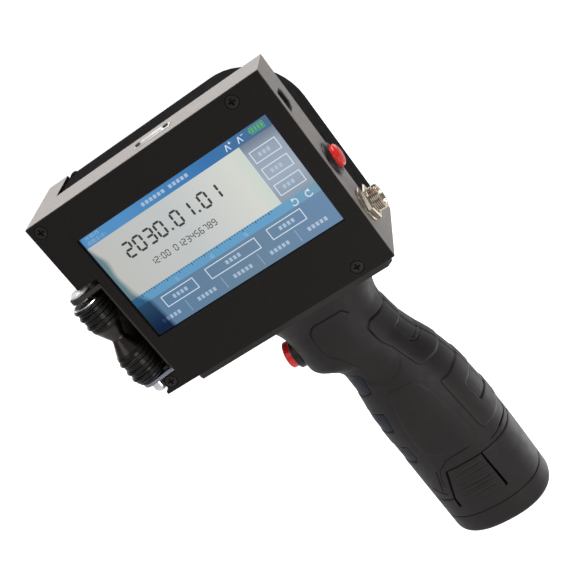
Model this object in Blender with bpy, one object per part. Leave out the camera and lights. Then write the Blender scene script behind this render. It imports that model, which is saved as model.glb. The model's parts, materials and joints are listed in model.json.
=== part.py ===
"""Hand-held date code inkjet printer, modelled as separate closed pieces.

Sizes are written in millimetres of the printer's own box: x runs from the
print end to the rear end, y from the screen side to the cover side, z up
from the underside of the box.  `row` turns such a point into metres in the
part's frame, whose origin is the centre of the battery's flat underside.
"""

import math

import bmesh
import bpy
from mathutils import Vector

MM = 0.001

# Driving sizes of the box, in millimetres.
BOX_W = 118.5
BOX_D = 50.1
BOX_H = 95.4
BAND_D = 22.5          # depth of the front metal part
WALL = 1.5
PANEL_T = 1.2
SEAT = 0.2             # air behind a face that rests on its neighbour
GAP = 0.3              # air around a loose or moving piece
REACH = 5.0            # how far a cutter runs past what it cuts
MID_Y = 24.75          # middle of the grip, from the screen face
GRIP_X = 86.0          # battery axis, from the print end
BASE_DROP = 147.0      # underside of the box above the battery's underside

# Cartridge bay behind the band.
END_W = 10.6           # full-depth metal at the print end
END_D = 46.5
LEDGE_H = 8.5
CABINET_Y = BAND_D + GAP
COVER_X = (END_W + 0.4, BOX_W - 1.3)
COVER_TOP = BOX_H - 1.1
COVER_WALL = 1.8
COVER_R = 30.0
COVER_EDGE_R = 2.0
LIP_H = 0.5            # height of the finger lip on the cover's top edge
HINGE_R = 2.5
HINGE_Y = BOX_D - HINGE_R
HINGE_Z = LEDGE_H + GAP + HINGE_R

# Window and screen.
WINDOW_X = (14.3, 111.0)
WINDOW_Z = (24.8, 79.5)

# Measuring roller.
ROLLER_X = -1.55
ROLLER_Y = 3.5
ROLLER_Z = 33.9
ROLLER_R = 7.85
WAIST_R = 3.4
ROLLER_UP = 21.4       # ends of the roller, above and below its waist
ROLLER_DOWN = 22.3
RING_OFFSETS = (11.1, 15.9, 19.7)
RING_R = 1.1
AXLE_R = 1.5
AXLE_BORE_R = AXLE_R + GAP
AXLE_Z = (5.2, 60.3)
COLLAR_R = 2.4
COLLAR_Z = (55.6, 56.9)
TOP_NUT_R = 4.7
TOP_NUT_Z = 59.5
LOW_NUT_R = 3.0
LOW_NUT_Z = 7.8        # its top; the other nut's level is its underside
DISC_R = 6.4
DISC_Z = (10.5, 11.2)
SENSOR_BOX = ((5.3, 1.5, 10.0), (7.9, 5.5, 11.3))
POCKET_X = 10.0
POCKET_Y = 14.0
POCKET_Z = (7.0, 61.8)
ARM_R = 5.6            # bracket arms that carry the axle
ARM_LOW_Z = (8.1, 9.8)
ARM_HIGH_Z = (57.2, 59.3)
BRACKET_Y = 13.4

# Controls on the rear end and the trigger.
POWER_YZ = (12.7, 45.7)
POWER_SHANK_R = 5.8
POWER_BORE_R = 5.3
PLUG_YZ = (13.0, 21.0)
PLUG_SHANK_R = 6.0
PLUG_BORE_R = 4.7
PLUG_R = 5.6
PLUG_FLANGE_R = 7.7
PLUG_NUT_R = 8.1
PIN_CIRCLE_R = 2.3
TRIGGER = (50.6, MID_Y, -25.2)
TRIGGER_TILT = math.radians(4.0)
TRIGGER_R = 6.4

# Grip and battery: stations down the handle.
# z, front edge x, rear edge x, half width in y
STATIONS = (
    (-3.5, 41.0, 104.5, 20.4),
    (-6.0, 46.0, 102.6, 19.8),
    (-10.0, 49.3, 100.6, 19.3),
    (-15.0, 50.9, 98.4, 19.0),
    (-20.0, 51.4, 97.2, 19.0),
    (-24.0, 51.5, 97.0, 19.0),
    (-28.0, 51.4, 97.4, 19.0),
    (-33.0, 51.6, 98.2, 18.9),
    (-35.0, 52.8, 98.6, 18.9),
    (-37.0, 56.4, 99.1, 18.8),
    (-40.0, 60.8, 99.9, 18.7),
    (-45.0, 62.3, 101.6, 18.7),
    (-52.0, 62.3, 104.7, 19.0),
    (-61.0, 61.5, 107.6, 19.7),
    (-72.0, 60.0, 109.6, 20.3),
    (-86.0, 60.0, 111.0, 20.7),
    (-98.0, 60.2, 111.6, 20.9),
    (-120.0, 60.3, 112.0, 21.0),
    (-146.9, 60.5, 111.9, 21.0),
)
SECTION_POWER = 2.35
SHELL_WALL = 1.9
SEAM_Z = -105.9
SKIRT_Z = -122.1
PAD_TOP_X = 76.6
PAD_LOW_X = 71.1
PAD_LOW_Z = -127.6
CAP_SEAM_Z = -134.2
CAP_FILLET = 4.5
LATCH_CENTRE_X = 84.8
CONTACT_BLOCK_BOX = ((70.0, 14.0, -70.0), (100.0, 35.5, -63.0))
CELL_R = 8.5
CELL_XY = ((76.5, MID_Y - 8.6), (76.5, MID_Y + 8.6), (94.4, MID_Y))
CELL_Z = (-137.0, -72.0)


def clear_scene():
    """Remove every object the file opened with."""
    for obj in list(bpy.data.objects):
        bpy.data.objects.remove(obj, do_unlink=True)


def row(x, y, z):
    """Box millimetres to metres in the part's frame."""
    return Vector(((x - GRIP_X) * MM, (y - MID_Y) * MM, (z + BASE_DROP) * MM))


# ---------------------------------------------------------------- materials

PALETTE = {
    "chassis_paint": ((0.50, 0.47, 0.45), 0.55, 0.2),
    "panel_black": ((0.021, 0.018, 0.016), 0.45, 0.0),
    "screw_black": ((0.035, 0.032, 0.03), 0.35, 0.8),
    "screen_glass": ((0.25, 0.45, 0.68), 0.08, 0.0),
    "board_green": ((0.02, 0.16, 0.07), 0.5, 0.0),
    "bright_steel": ((0.72, 0.72, 0.72), 0.22, 1.0),
    "light_metal": ((0.70, 0.70, 0.71), 0.35, 1.0),
    "nickel": ((0.66, 0.60, 0.50), 0.2, 1.0),
    "gold_contact": ((0.80, 0.58, 0.20), 0.25, 1.0),
    "red_plastic": ((0.75, 0.02, 0.015), 0.25, 0.0),
    "cover_black": ((0.012, 0.010, 0.011), 0.5, 0.0),
    "cartridge_black": ((0.03, 0.03, 0.035), 0.4, 0.0),
    "roller_rubber": ((0.030, 0.028, 0.026), 0.6, 0.0),
    "grip_plastic": ((0.030, 0.026, 0.025), 0.55, 0.0),
    "cell_wrap": ((0.05, 0.25, 0.55), 0.4, 0.0),
}


def material(slot):
    """The Principled material of one slot of the palette."""
    found = bpy.data.materials.get(slot)
    if found:
        return found
    colour, roughness, metallic = PALETTE[slot]
    made = bpy.data.materials.new(slot)
    made.use_nodes = True
    shader = made.node_tree.nodes["Principled BSDF"]
    shader.inputs["Base Color"].default_value = (*colour, 1.0)
    shader.inputs["Roughness"].default_value = roughness
    shader.inputs["Metallic"].default_value = metallic
    return made


# ------------------------------------------------------------ mesh builders

def add_object(name, bm, slot, pivot=None):
    """Turn a bmesh in box millimetres into an object whose origin is `pivot`."""
    origin = row(*(pivot or (GRIP_X, MID_Y, -BASE_DROP)))
    for vert in bm.verts:
        vert.co = row(*vert.co) - origin
    bmesh.ops.recalc_face_normals(bm, faces=bm.faces)
    mesh = bpy.data.meshes.new(name)
    bm.to_mesh(mesh)
    bm.free()
    mesh.shade_smooth()
    mesh.set_sharp_from_angle(angle=math.radians(35))
    obj = bpy.data.objects.new(name, mesh)
    obj.location = origin
    bpy.context.collection.objects.link(obj)
    mesh.materials.append(material(slot))
    return obj


def skin(rings, closed=False):
    """A bmesh skinned over equal rings of points, capped unless it is closed."""
    bm = bmesh.new()
    loops = [[bm.verts.new(point) for point in ring] for ring in rings]
    pairs = list(zip(loops, loops[1:]))
    if closed:
        pairs.append((loops[-1], loops[0]))
    for low, high in pairs:
        count = len(low)
        for i in range(count):
            j = (i + 1) % count
            bm.faces.new((low[i], low[j], high[j], high[i]))
    if not closed:
        bm.faces.new(loops[0])
        bm.faces.new(loops[-1])
    return bm


def slab(low, high):
    """A rectangular block between two corners."""
    outline = ((low[0], low[1]), (high[0], low[1]), (high[0], high[1]), (low[0], high[1]))
    return prism(outline, "z", low[2], high[2])


def prism(outline, axis, start, stop):
    """An outline swept along an axis; its two numbers are the other two axes."""
    def point(pair, level):
        if axis == "x":
            return (level, pair[0], pair[1])
        if axis == "y":
            return (pair[0], level, pair[1])
        return (pair[0], pair[1], level)

    return skin([[point(pair, start) for pair in outline], [point(pair, stop) for pair in outline]])


def arc(centre, radius, start_deg, stop_deg, steps):
    """Points along an arc, both ends included."""
    span = stop_deg - start_deg
    angles = [math.radians(start_deg + span * i / steps) for i in range(steps + 1)]
    return [(centre[0] + radius * math.cos(a), centre[1] + radius * math.sin(a)) for a in angles]


def lathe(profile, centre, axis, segments):
    """Turn a closed profile of (radius, height) round an axis through centre.

    A profile that starts and ends at radius 0 makes a solid; any other
    profile makes a ring.
    """
    bm = bmesh.new()
    turned = Vector(axis).normalized().to_track_quat("Z", "Y")
    base = Vector(centre)
    loops = []
    for radius, height in profile:
        if radius == 0:
            loops.append([bm.verts.new(base + turned @ Vector((0, 0, height)))])
            continue
        ring = []
        for i in range(segments):
            angle = 2 * math.pi * i / segments
            spot = Vector((radius * math.cos(angle), radius * math.sin(angle), height))
            ring.append(bm.verts.new(base + turned @ spot))
        loops.append(ring)
    pairs = list(zip(loops, loops[1:]))
    if profile[0][0] != 0:
        pairs.append((loops[-1], loops[0]))
    for low, high in pairs:
        for i in range(segments):
            j = (i + 1) % segments
            corners = [low[i % len(low)], low[j % len(low)], high[j % len(high)], high[i % len(high)]]
            bm.faces.new(list(dict.fromkeys(corners)))
    return bm


def rod(radius, start, stop, centre, axis, segments=24):
    """A plain cylinder from `start` to `stop` along an axis."""
    return lathe(((0, start), (radius, start), (radius, stop), (0, stop)), centre, axis, segments)


def combine(obj, bm, operation):
    """Join, cut or intersect an object with a hidden helper solid."""
    helper = add_object(obj.name + "_helper", bm, "screw_black")
    helper.hide_render = True
    helper.display_type = "WIRE"
    step = obj.modifiers.new(operation.lower(), "BOOLEAN")
    step.operation = operation
    step.object = helper
    return helper


def cut(obj, bm):
    """Remove a solid from an object."""
    return combine(obj, bm, "DIFFERENCE")


def join(obj, bm):
    """Grow an object by a solid that overlaps it."""
    return combine(obj, bm, "UNION")


def keep_inside(obj, bm):
    """Keep only the part of an object inside a solid."""
    return combine(obj, bm, "INTERSECT")


# ------------------------------------------------------------------ chassis

PANEL_SCREWS = ((4.8, 91.0), (103.0, 90.8), (103.0, 4.6), (5.0, 4.6))
LATCH_X = (56.2, 74.4)
LATCH_Y = (7.6, 13.6)
LATCH_SCREWS_X = (58.2, 72.4)
LATCH_BAR_X = (60.3, 70.3)
LATCH_SEAT = 0.6                   # depth of the catch plate's seat
LATCH_HOLE_R = 1.0
POST_X = (99.0, 107.0)
POST_H = 7.0
LEFT_POST_X = 9.0
SCREW_HEAD_R = 2.7
SCREW_SHANK_R = 1.2
SCREW_L = 11.0
CROSS_SLOT = (1.7, 0.32)           # half length and half width of a cross recess
BOARD_BOSSES_X = (17.0, 97.0)
BOARD_BOSSES_Z = (14.0, 81.0)
BOSS_R = 3.0
BOSS_Y = 15.6
CABLE_XY = (74.5, 12.0)            # cable hole from the grip into the box
CABLE_R = 4.2
FLANGE_CABLE_R = 4.0
USB_Y = (5.0, 14.0)
USB_Z = (73.0, 82.4)
MID_WALL_Y = BAND_D - 1.8          # front face of the wall behind the electronics
NOTCH_X = 1.8                      # bite at the lower corner, clear of the axle nut
NOTCH_Y = 8.0
NOTCH_Z = 1.4
PRINT_SLOT_Y = (27.0, 43.0)
PRINT_SLOT_Z = (28.0, 48.0)
USB_CHAMFER = 2.2
USB_BACK = (107.0, 110.0)          # back of the socket and of its opening
LUG_W = 3.6
LUG_R = 2.2
PIN_R = 1.0


def front_cavity_outline():
    """Electronics space seen from the front, stepped round posts and pocket."""
    low, high = WALL, BOX_H - WALL
    wall_x = POCKET_X + WALL
    shelf_z = POCKET_Z[1] + WALL
    return (
        (wall_x, low), (POST_X[0], low), (POST_X[0], low + POST_H), (POST_X[1], low + POST_H),
        (POST_X[1], low), (BOX_W - WALL, low), (BOX_W - WALL, high), (POST_X[1], high),
        (POST_X[1], high - POST_H), (POST_X[0], high - POST_H), (POST_X[0], high), (LEFT_POST_X, high),
        (LEFT_POST_X, high - POST_H), (low, high - POST_H), (low, shelf_z), (wall_x, shelf_z),
    )


def usb_outline(inset):
    """D-shaped plug outline in y and z, chamfered on the cover side."""
    y0, y1 = USB_Y[0] + inset, USB_Y[1] - inset
    z0, z1 = USB_Z[0] + inset, USB_Z[1] - inset
    low = ((y0, z0), (y1 - USB_CHAMFER, z0), (y1, z0 + USB_CHAMFER))
    return low + ((y1, z1 - USB_CHAMFER), (y1 - USB_CHAMFER, z1), (y0, z1))


def hinge_lug_spans():
    """The x spans of the two fixed hinge lugs, just inside the cover's sides."""
    inner = COVER_WALL + GAP + 0.3
    left = COVER_X[0] + inner
    right = COVER_X[1] - inner
    return ((left, left + LUG_W), (right - LUG_W, right))


def make_chassis():
    """Painted metal housing: front tray, print-end wall and bottom ledge."""
    front = PANEL_T + SEAT
    chassis = add_object("chassis", slab((0, front, 0), (BOX_W, BOX_D, BOX_H)), "chassis_paint")
    past = (BOX_W + REACH, BOX_D + REACH, BOX_H + REACH)
    cut(chassis, slab((END_W, BAND_D, LEDGE_H), past))
    cut(chassis, slab((-REACH, END_D, LEDGE_H), (END_W + REACH, past[1], past[2])))
    cut(chassis, prism(front_cavity_outline(), "y", -REACH, MID_WALL_Y))
    cut(chassis, slab((WALL, BAND_D, LEDGE_H), (END_W + REACH, END_D - WALL, BOX_H - WALL)))
    cut(chassis, slab((-REACH, -REACH, POCKET_Z[0]), (POCKET_X, POCKET_Y, POCKET_Z[1])))
    cut(chassis, slab((-REACH, -REACH, NOTCH_Z), (NOTCH_X, NOTCH_Y, POCKET_Z[0] + 3)))
    cut(chassis, slab((-REACH, PRINT_SLOT_Y[0], PRINT_SLOT_Z[0]), (REACH, PRINT_SLOT_Y[1], PRINT_SLOT_Z[1])))
    cut_rear_openings(chassis)
    cut_screw_holes(chassis, front)
    cut(chassis, rod(CABLE_R, -REACH, REACH, (*CABLE_XY, 0), (0, 0, 1)))
    for x in BOARD_BOSSES_X:
        for z in BOARD_BOSSES_Z:
            join(chassis, rod(BOSS_R, BOSS_Y, MID_WALL_Y + 0.5, (x, 0, z), (0, 1, 0), 16))
    add_hinge_lugs(chassis)
    return chassis


def cut_screw_holes(chassis, front):
    """Countersinks and threads' bores for the panel, and the catch plate's seat."""
    deep = SCREW_L + 2
    for x, z in PANEL_SCREWS:
        cone = ((0, -1), (2.3, -1), (2.3, front), (1.5, front + 0.6), (1.5, deep), (0, deep))
        cut(chassis, lathe(cone, (x, 0, z), (0, 1, 0), 14))
    seat_low = (LATCH_X[0] - GAP, LATCH_Y[0] - GAP, BOX_H - LATCH_SEAT)
    cut(chassis, slab(seat_low, (LATCH_X[1] + GAP, LATCH_Y[1] + GAP, BOX_H + REACH)))
    for x in LATCH_SCREWS_X:
        cut(chassis, rod(LATCH_HOLE_R, -REACH, REACH, (x, sum(LATCH_Y) / 2, BOX_H), (0, 0, 1), 16))


def cut_rear_openings(chassis):
    """Openings in the rear end wall for the plug, the button and the connector."""
    reach = (BOX_W - REACH, BOX_W + REACH)
    cut(chassis, prism(usb_outline(-GAP), "x", *reach))
    for (y, z), radius in ((POWER_YZ, POWER_SHANK_R + GAP), (PLUG_YZ, PLUG_SHANK_R + GAP)):
        cut(chassis, rod(radius, *reach, (0, y, z), (1, 0, 0), 24))


def add_hinge_lugs(chassis):
    """Two lugs on the bottom ledge that hold the cover's hinge pin."""
    centre = (HINGE_Y, HINGE_Z)
    foot = [(HINGE_Y + LUG_R, LEDGE_H - 1), (HINGE_Y - LUG_R, LEDGE_H - 1)]
    outline = arc(centre, LUG_R, 0, 180, 12)
    for start, stop in hinge_lug_spans():
        join(chassis, prism(outline + foot[::-1], "x", start, stop))
        cut(chassis, rod(PIN_R + GAP, start - 0.2, stop + 0.2, (0, *centre), (1, 0, 0), 16))


# -------------------------------------------------------------- front panel

LOW_STEP_Z = 7.8
HEAD_SINK = ((0, -1), (3.05, -1), (3.05, 0.15), (2.0, PANEL_T), (2.0, REACH), (0, REACH))


def panel_outline():
    """Panel outline with the roller notch and the axle nut's clearance."""
    x_in = POCKET_X
    return (
        (0, 0), (BOX_W, 0), (BOX_W, BOX_H), (0, BOX_H), (0, POCKET_Z[1]),
        (x_in, POCKET_Z[1]), (x_in, LOW_STEP_Z), (NOTCH_X, LOW_STEP_Z), (NOTCH_X, NOTCH_Z), (0, NOTCH_Z),
    )


def make_front_panel():
    """Flat black panel with the screen window and four countersunk holes."""
    panel = add_object("front_panel", prism(panel_outline(), "y", 0, PANEL_T), "panel_black")
    cut(panel, slab((WINDOW_X[0], -REACH, WINDOW_Z[0]), (WINDOW_X[1], REACH, WINDOW_Z[1])))
    for x, z in PANEL_SCREWS:
        cut(panel, lathe(HEAD_SINK, (x, 0, z), (0, 1, 0), 24))


def make_panel_screws():
    """Four countersunk cross-head screws that hold the panel."""
    for index, (x, z) in enumerate(PANEL_SCREWS, 1):
        head = ((0, 0.05), (SCREW_HEAD_R, 0.05), (SCREW_HEAD_R + 0.05, 0.2), (SCREW_SHANK_R, 1.75))
        profile = head + ((SCREW_SHANK_R, SCREW_L), (0, SCREW_L))
        screw = add_object(f"panel_screw_{index}", lathe(profile, (x, 0, z), (0, 1, 0), 20), "screw_black")
        for half_x, half_z in (CROSS_SLOT, CROSS_SLOT[::-1]):
            cut(screw, slab((x - half_x, -1, z - half_z), (x + half_x, 1.0, z + half_z)))


GLASS_BOX = ((12.6, PANEL_T + 0.1, 22.6), (115.0, 2.4, 82.0))
MODULE_BOX = ((12.3, 2.7, 19.5), (115.3, 4.6, 85.5))
MODULE_CIRCUIT_BOX = ((30.0, 4.3, 30.0), (95.0, 6.0, 60.0))
BOARD_BOX = ((13.2, 13.7, 10.0), (101.0, 15.3, 85.0))
BOARD_NOTCH_BOX = ((60.0, 10.0, 5.0), (88.0, 20.0, 16.0))
PROCESSOR_BOX = ((50.0, 11.6, 42.0), (66.0, 13.5, 58.0))


def make_screen():
    """Touch glass behind the window and the display module behind the glass."""
    add_object("display_glass", slab(*GLASS_BOX), "screen_glass")
    module = add_object("display_module", slab(*MODULE_BOX), "light_metal")
    join(module, slab(*MODULE_CIRCUIT_BOX))


def make_electronics():
    """Main circuit board on the chassis bosses, and its processor."""
    board = add_object("mainboard", slab(*BOARD_BOX), "board_green")
    cut(board, slab(*BOARD_NOTCH_BOX))
    add_object("board_processor", slab(*PROCESSOR_BOX), "cartridge_black")


def make_latch_plate():
    """Bright catch plate let into the top band, with two small screws."""
    top = BOX_H + 0.35
    mid_y = sum(LATCH_Y) / 2
    low = BOX_H - 0.5
    body = slab((LATCH_X[0], LATCH_Y[0], low), (LATCH_X[1], LATCH_Y[1], top))
    plate = add_object("latch_plate", body, "bright_steel")
    bar_low = (LATCH_BAR_X[0], LATCH_Y[0] + 0.8, BOX_H)
    join(plate, slab(bar_low, (LATCH_BAR_X[1], LATCH_Y[1] - 0.8, BOX_H + 0.9)))
    for index, x in enumerate(LATCH_SCREWS_X, 1):
        cut(plate, rod(LATCH_HOLE_R, -REACH, REACH, (x, mid_y, BOX_H), (0, 0, 1), 20))
        profile = ((0, -3.5), (0.7, -3.5), (0.7, 0.6), (1.3, 0.6), (1.1, 1.0), (0, 1.1))
        name = f"latch_plate_screw_{index}"
        add_object(name, lathe(profile, (x, mid_y, BOX_H), (0, 0, 1), 20), "screw_black")


# ------------------------------------------------------------ rear end parts

def make_usb_port():
    """Square data socket with a central tongue."""
    port = add_object("usb_port", prism(usb_outline(0.0), "x", USB_BACK[0], BOX_W - GAP), "bright_steel")
    cut(port, prism(usb_outline(0.7), "x", USB_BACK[1], BOX_W + REACH))
    mid_y = sum(USB_Y) / 2
    tongue_low = (USB_BACK[1] - 1.0, mid_y - 1.2, USB_Z[0] + USB_CHAMFER)
    join(port, slab(tongue_low, (BOX_W - 1.2, mid_y + 1.2, USB_Z[1] - USB_CHAMFER)))


def make_power_button():
    """Bezel with a blind bore, the red cap that slides in it, and the nut inside."""
    spot = (BOX_W, *POWER_YZ)
    out = (1, 0, 0)
    bezel = (
        (0, -8.5), (POWER_BORE_R, -8.5), (POWER_BORE_R, 1.8), (5.9, 2.1), (6.6, 1.8), (7.4, 0.8),
        (7.6, SEAT), (POWER_SHANK_R, SEAT), (POWER_SHANK_R, -12.5), (0, -12.5),
    )
    add_object("power_button_bezel", lathe(bezel, spot, out, 36), "cover_black")
    cap_r = POWER_BORE_R - GAP
    dome = ((0, -6.0), (cap_r, -6.0), (cap_r, 3.3), (4.4, 4.2), (3.0, 4.8), (1.5, 5.05), (0, 5.1))
    add_object("power_button_cap", lathe(dome, spot, out, 36), "red_plastic", spot)
    nut_bore = POWER_SHANK_R + GAP
    nut = ((nut_bore, -4.6), (7.6, -4.6), (7.6, -1.8), (nut_bore, -1.8))
    add_object("power_button_nut", lathe(nut, spot, out, 24), "bright_steel")


def thread_profile(radius, start, pitch, turns, depth):
    """Crests and roots of a screw thread drawn as rings."""
    points = []
    for turn in range(turns):
        base = start + turn * pitch
        points += [(radius, base), (radius, base + pitch * 0.4), (radius - depth, base + pitch * 0.7)]
    points.append((radius, start + turns * pitch))
    return points


def make_connector():
    """Round threaded power connector, its hexagon nut and its pin insert."""
    spot = (BOX_W, *PLUG_YZ)
    out = (1, 0, 0)
    thread = thread_profile(PLUG_R, 3.9, 0.8, 5, 0.4)
    socket = [(0, 0.5), (PLUG_BORE_R, 0.5), (PLUG_BORE_R, 7.8), (5.1, 8.0)]
    flange = [(PLUG_R, 1.3), (PLUG_FLANGE_R, 1.3), (PLUG_FLANGE_R, SEAT), (PLUG_SHANK_R, SEAT)]
    flange += [(PLUG_SHANK_R, -8.0), (0, -8.0)]
    body = add_object("connector_body", lathe(socket + thread[::-1] + flange, spot, out, 24), "nickel")
    y, z = PLUG_YZ
    cut(body, slab((BOX_W + 6.2, y - 0.9, z + 3), (BOX_W + 12, y + 0.9, z + 8)))
    hexagon = ((0, 1.6), (PLUG_NUT_R, 1.6), (PLUG_NUT_R, 3.2), (7.4, 3.7), (0, 3.7))
    nut = add_object("connector_nut", lathe(hexagon, spot, out, 6), "nickel")
    cut(nut, rod(PLUG_R + GAP, -1, 6, spot, out, 32))
    insert = add_object("connector_insert", rod(PLUG_BORE_R - GAP, 0.8, 3.4, spot, out, 24), "cover_black")
    for i in range(4):
        angle = math.radians(45 + 90 * i)
        pin = (BOX_W, y + PIN_CIRCLE_R * math.cos(angle), z + PIN_CIRCLE_R * math.sin(angle))
        join(insert, rod(0.55, 2.8, 6.2, pin, out, 10))


# --------------------------------------------------------------- bay cover

def cover_outline(inset):
    """Cover seen from the side, with the large round at the rear top corner."""
    x0, x1 = COVER_X[0] + inset, COVER_X[1] - inset
    z0, z1 = LEDGE_H + GAP, COVER_TOP - inset
    radius = COVER_R - inset
    corner = arc((x1 - radius, z1 - radius), radius, 0, 90, 12)
    return [(x0, z0), (x1, z0)] + corner + [(x0, z1)]


def cover_hollow():
    """Inside of the cover, open at the ledge and towards the print end."""
    outline = cover_outline(COVER_WALL)
    low, left = LEDGE_H - 4, COVER_X[0] - 4
    return [(left, low), (outline[1][0], low)] + outline[2:-1] + [(left, outline[-1][1])]


def cover_section():
    """Cover in y and z, rounded about the hinge pin at its lower rear edge."""
    low_round = arc((HINGE_Y, HINGE_Z), HINGE_R, -90, 0, 8)
    top_round = arc((BOX_D - COVER_EDGE_R, COVER_TOP - COVER_EDGE_R), COVER_EDGE_R, 0, 90, 4)
    return [(CABINET_Y, LEDGE_H + GAP)] + low_round + top_round + [(CABINET_Y, COVER_TOP)]


def make_bay_cover():
    """Hinged black cover of the cartridge bay, swinging down about its pin."""
    pivot = (sum(COVER_X) / 2, HINGE_Y, HINGE_Z)
    body = prism(cover_outline(0), "y", CABINET_Y, BOX_D)
    cover = add_object("bay_cover", body, "cover_black", pivot)
    keep_inside(cover, prism(cover_section(), "x", COVER_X[0] - 1, COVER_X[1] + 1))
    cut(cover, prism(cover_hollow(), "y", CABINET_Y - REACH, BOX_D - COVER_WALL))
    side_end = (COVER_X[0] + COVER_WALL, BOX_D - 1, COVER_TOP - 1)
    join(cover, slab((COVER_X[0], END_D - 0.9, HINGE_Z + 4), side_end))
    left, right = hinge_lug_spans()
    barrel = (left[1] + 0.4, right[0] - 0.4)
    join(cover, rod(HINGE_R - 0.1, *barrel, (0, HINGE_Y, HINGE_Z), (1, 0, 0), 24))
    for start, stop in (left, right):
        cut(cover, slab((start - 0.4, HINGE_Y - REACH, LEDGE_H - 2), (stop + 0.4, BOX_D + REACH, HINGE_Z + 3.2)))
    cut(cover, rod(PIN_R + GAP, left[0] + 0.5, right[1] - 0.5, (0, HINGE_Y, HINGE_Z), (1, 0, 0), 16))
    x, z = COVER_X[0], COVER_TOP
    lip = ((x + 0.4, z - 1), (x + 4.5, z - 1), (x + 2.6, z + LIP_H), (x + 0.9, z + LIP_H))
    join(cover, prism(lip, "y", BOX_D - 4.5, BOX_D - 1.0))
    pin = rod(PIN_R, left[0] - 0.2, right[1] + 0.2, (0, HINGE_Y, HINGE_Z), (1, 0, 0), 16)
    add_object("cover_hinge_pin", pin, "bright_steel")


# ---------------------------------------------------------- ink and printing

HOLDER_BOXES = (
    ((14.0, CABINET_Y, 9.0), (101.0, 24.4, 88.0)),     # back
    ((14.0, 24.0, 9.0), (101.0, 43.0, 10.8)),          # shelf
    ((99.2, 24.0, 9.0), (101.0, 43.0, 62.0)),          # end
)
CARTRIDGE_OUTLINE = (
    (-4.0, 29.0), (4.0, 29.0), (4.0, 11.4), (84.0, 11.4), (86.0, 14.0), (86.0, 78.0),
    (82.0, 82.0), (14.0, 82.0), (3.4, 72.0), (3.4, 47.0), (-4.0, 47.0),
)
CARTRIDGE_Y = (28.0, 42.0)
CARTRIDGE_WIDE_BOX = ((14.0, 25.2, 13.0), (83.0, 44.6, 79.0))
NOZZLE_BOX = ((-4.8, 31.0, 30.0), (-4.3, 39.0, 46.0))
CONTACT_BOX = ((1.8, 28.0, 50.0), (2.8, 42.0, 70.0))
CLIP_OUTLINE = (
    (98.9, 60.0), (98.9, 20.0), (98.1, 20.0), (98.1, 52.0), (88.6, 46.0),
    (88.6, 30.0), (87.8, 30.0), (87.8, 46.5), (98.1, 60.0),
)
CLIP_Y = (30.0, 40.0)
GUARD_BOX = ((-8.0, 25.4, 24.0), (-GAP, 44.6, 52.0))
GUARD_HOLLOW_BOX = ((-6.6, 27.4, 27.4), (REACH, 42.6, 48.6))
GUARD_SLOT_BOX = ((-12.0, 33.0, 30.0), (0, 37.0, 46.0))


def make_cartridge_bay():
    """Holder, ink cartridge, nozzle plate, contact board, spring clip and guard."""
    holder = add_object("cartridge_holder", slab(*HOLDER_BOXES[0]), "cartridge_black")
    for box in HOLDER_BOXES[1:]:
        join(holder, slab(*box))
    cartridge = add_object("ink_cartridge", prism(CARTRIDGE_OUTLINE, "y", *CARTRIDGE_Y), "cartridge_black")
    join(cartridge, slab(*CARTRIDGE_WIDE_BOX))
    add_object("cartridge_nozzle_plate", slab(*NOZZLE_BOX), "gold_contact")
    add_object("cartridge_contact_board", slab(*CONTACT_BOX), "board_green")
    add_object("cartridge_clip", prism(CLIP_OUTLINE, "y", *CLIP_Y), "bright_steel")
    guard = add_object("print_guard", slab(*GUARD_BOX), "cover_black")
    cut(guard, slab(*GUARD_HOLLOW_BOX))
    cut(guard, slab(*GUARD_SLOT_BOX))


# ------------------------------------------------------------------- roller

def arm_outline():
    """Bracket arm seen along the roller axle: a round end on a wide root."""
    centre = (ROLLER_X, ROLLER_Y)
    root_x = POCKET_X - GAP
    root = [(root_x - 2.5, 0.3), (root_x, 0.3), (root_x, BRACKET_Y), (4.0, BRACKET_Y)]
    return arc(centre, ARM_R, 75, 285, 16) + root


def make_roller_bracket():
    """Black bracket in the pocket: two arms, an end plate and a back plate."""
    low, high = ARM_LOW_Z[0], ARM_HIGH_Z[1]
    root_x = POCKET_X - GAP
    end_plate = slab((root_x - 1.6, 2.0, low), (root_x, BRACKET_Y, high))
    bracket = add_object("roller_bracket", end_plate, "cover_black")
    join(bracket, slab((-3.0, BRACKET_Y - 1.4, low), (root_x - 0.5, BRACKET_Y, high)))
    for span in (ARM_LOW_Z, ARM_HIGH_Z):
        join(bracket, prism(arm_outline(), "z", *span))
    cut(bracket, rod(AXLE_BORE_R, 0, POCKET_Z[1] + 3, (ROLLER_X, ROLLER_Y, 0), (0, 0, 1)))


def spool_side(reach):
    """Spool from one end to its waist: three ring grooves, then the cone."""
    rim = ROLLER_R - 0.75
    floor = ROLLER_R - 2 * RING_R - GAP - 0.05
    half_groove = RING_R + GAP
    side = [(AXLE_BORE_R, reach), (rim - 1.0, reach), (rim, reach - 0.5)]
    for offset in sorted(RING_OFFSETS, reverse=True):
        start, stop = offset + half_groove, offset - half_groove
        if start < reach - 0.6:
            side += [(rim, start)]
        side += [(floor, min(start, reach - 0.55)), (floor, stop), (rim, stop)]
    return side + [(rim, 8.2), (rim - 0.5, 6.9), (WAIST_R, 0.35)]


def spool_profile():
    """Spool from bottom to top, as (radius, height)."""
    lower = [(radius, ROLLER_Z - height) for radius, height in spool_side(ROLLER_DOWN)]
    upper = [(radius, ROLLER_Z + height) for radius, height in reversed(spool_side(ROLLER_UP))]
    return lower + upper


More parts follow.
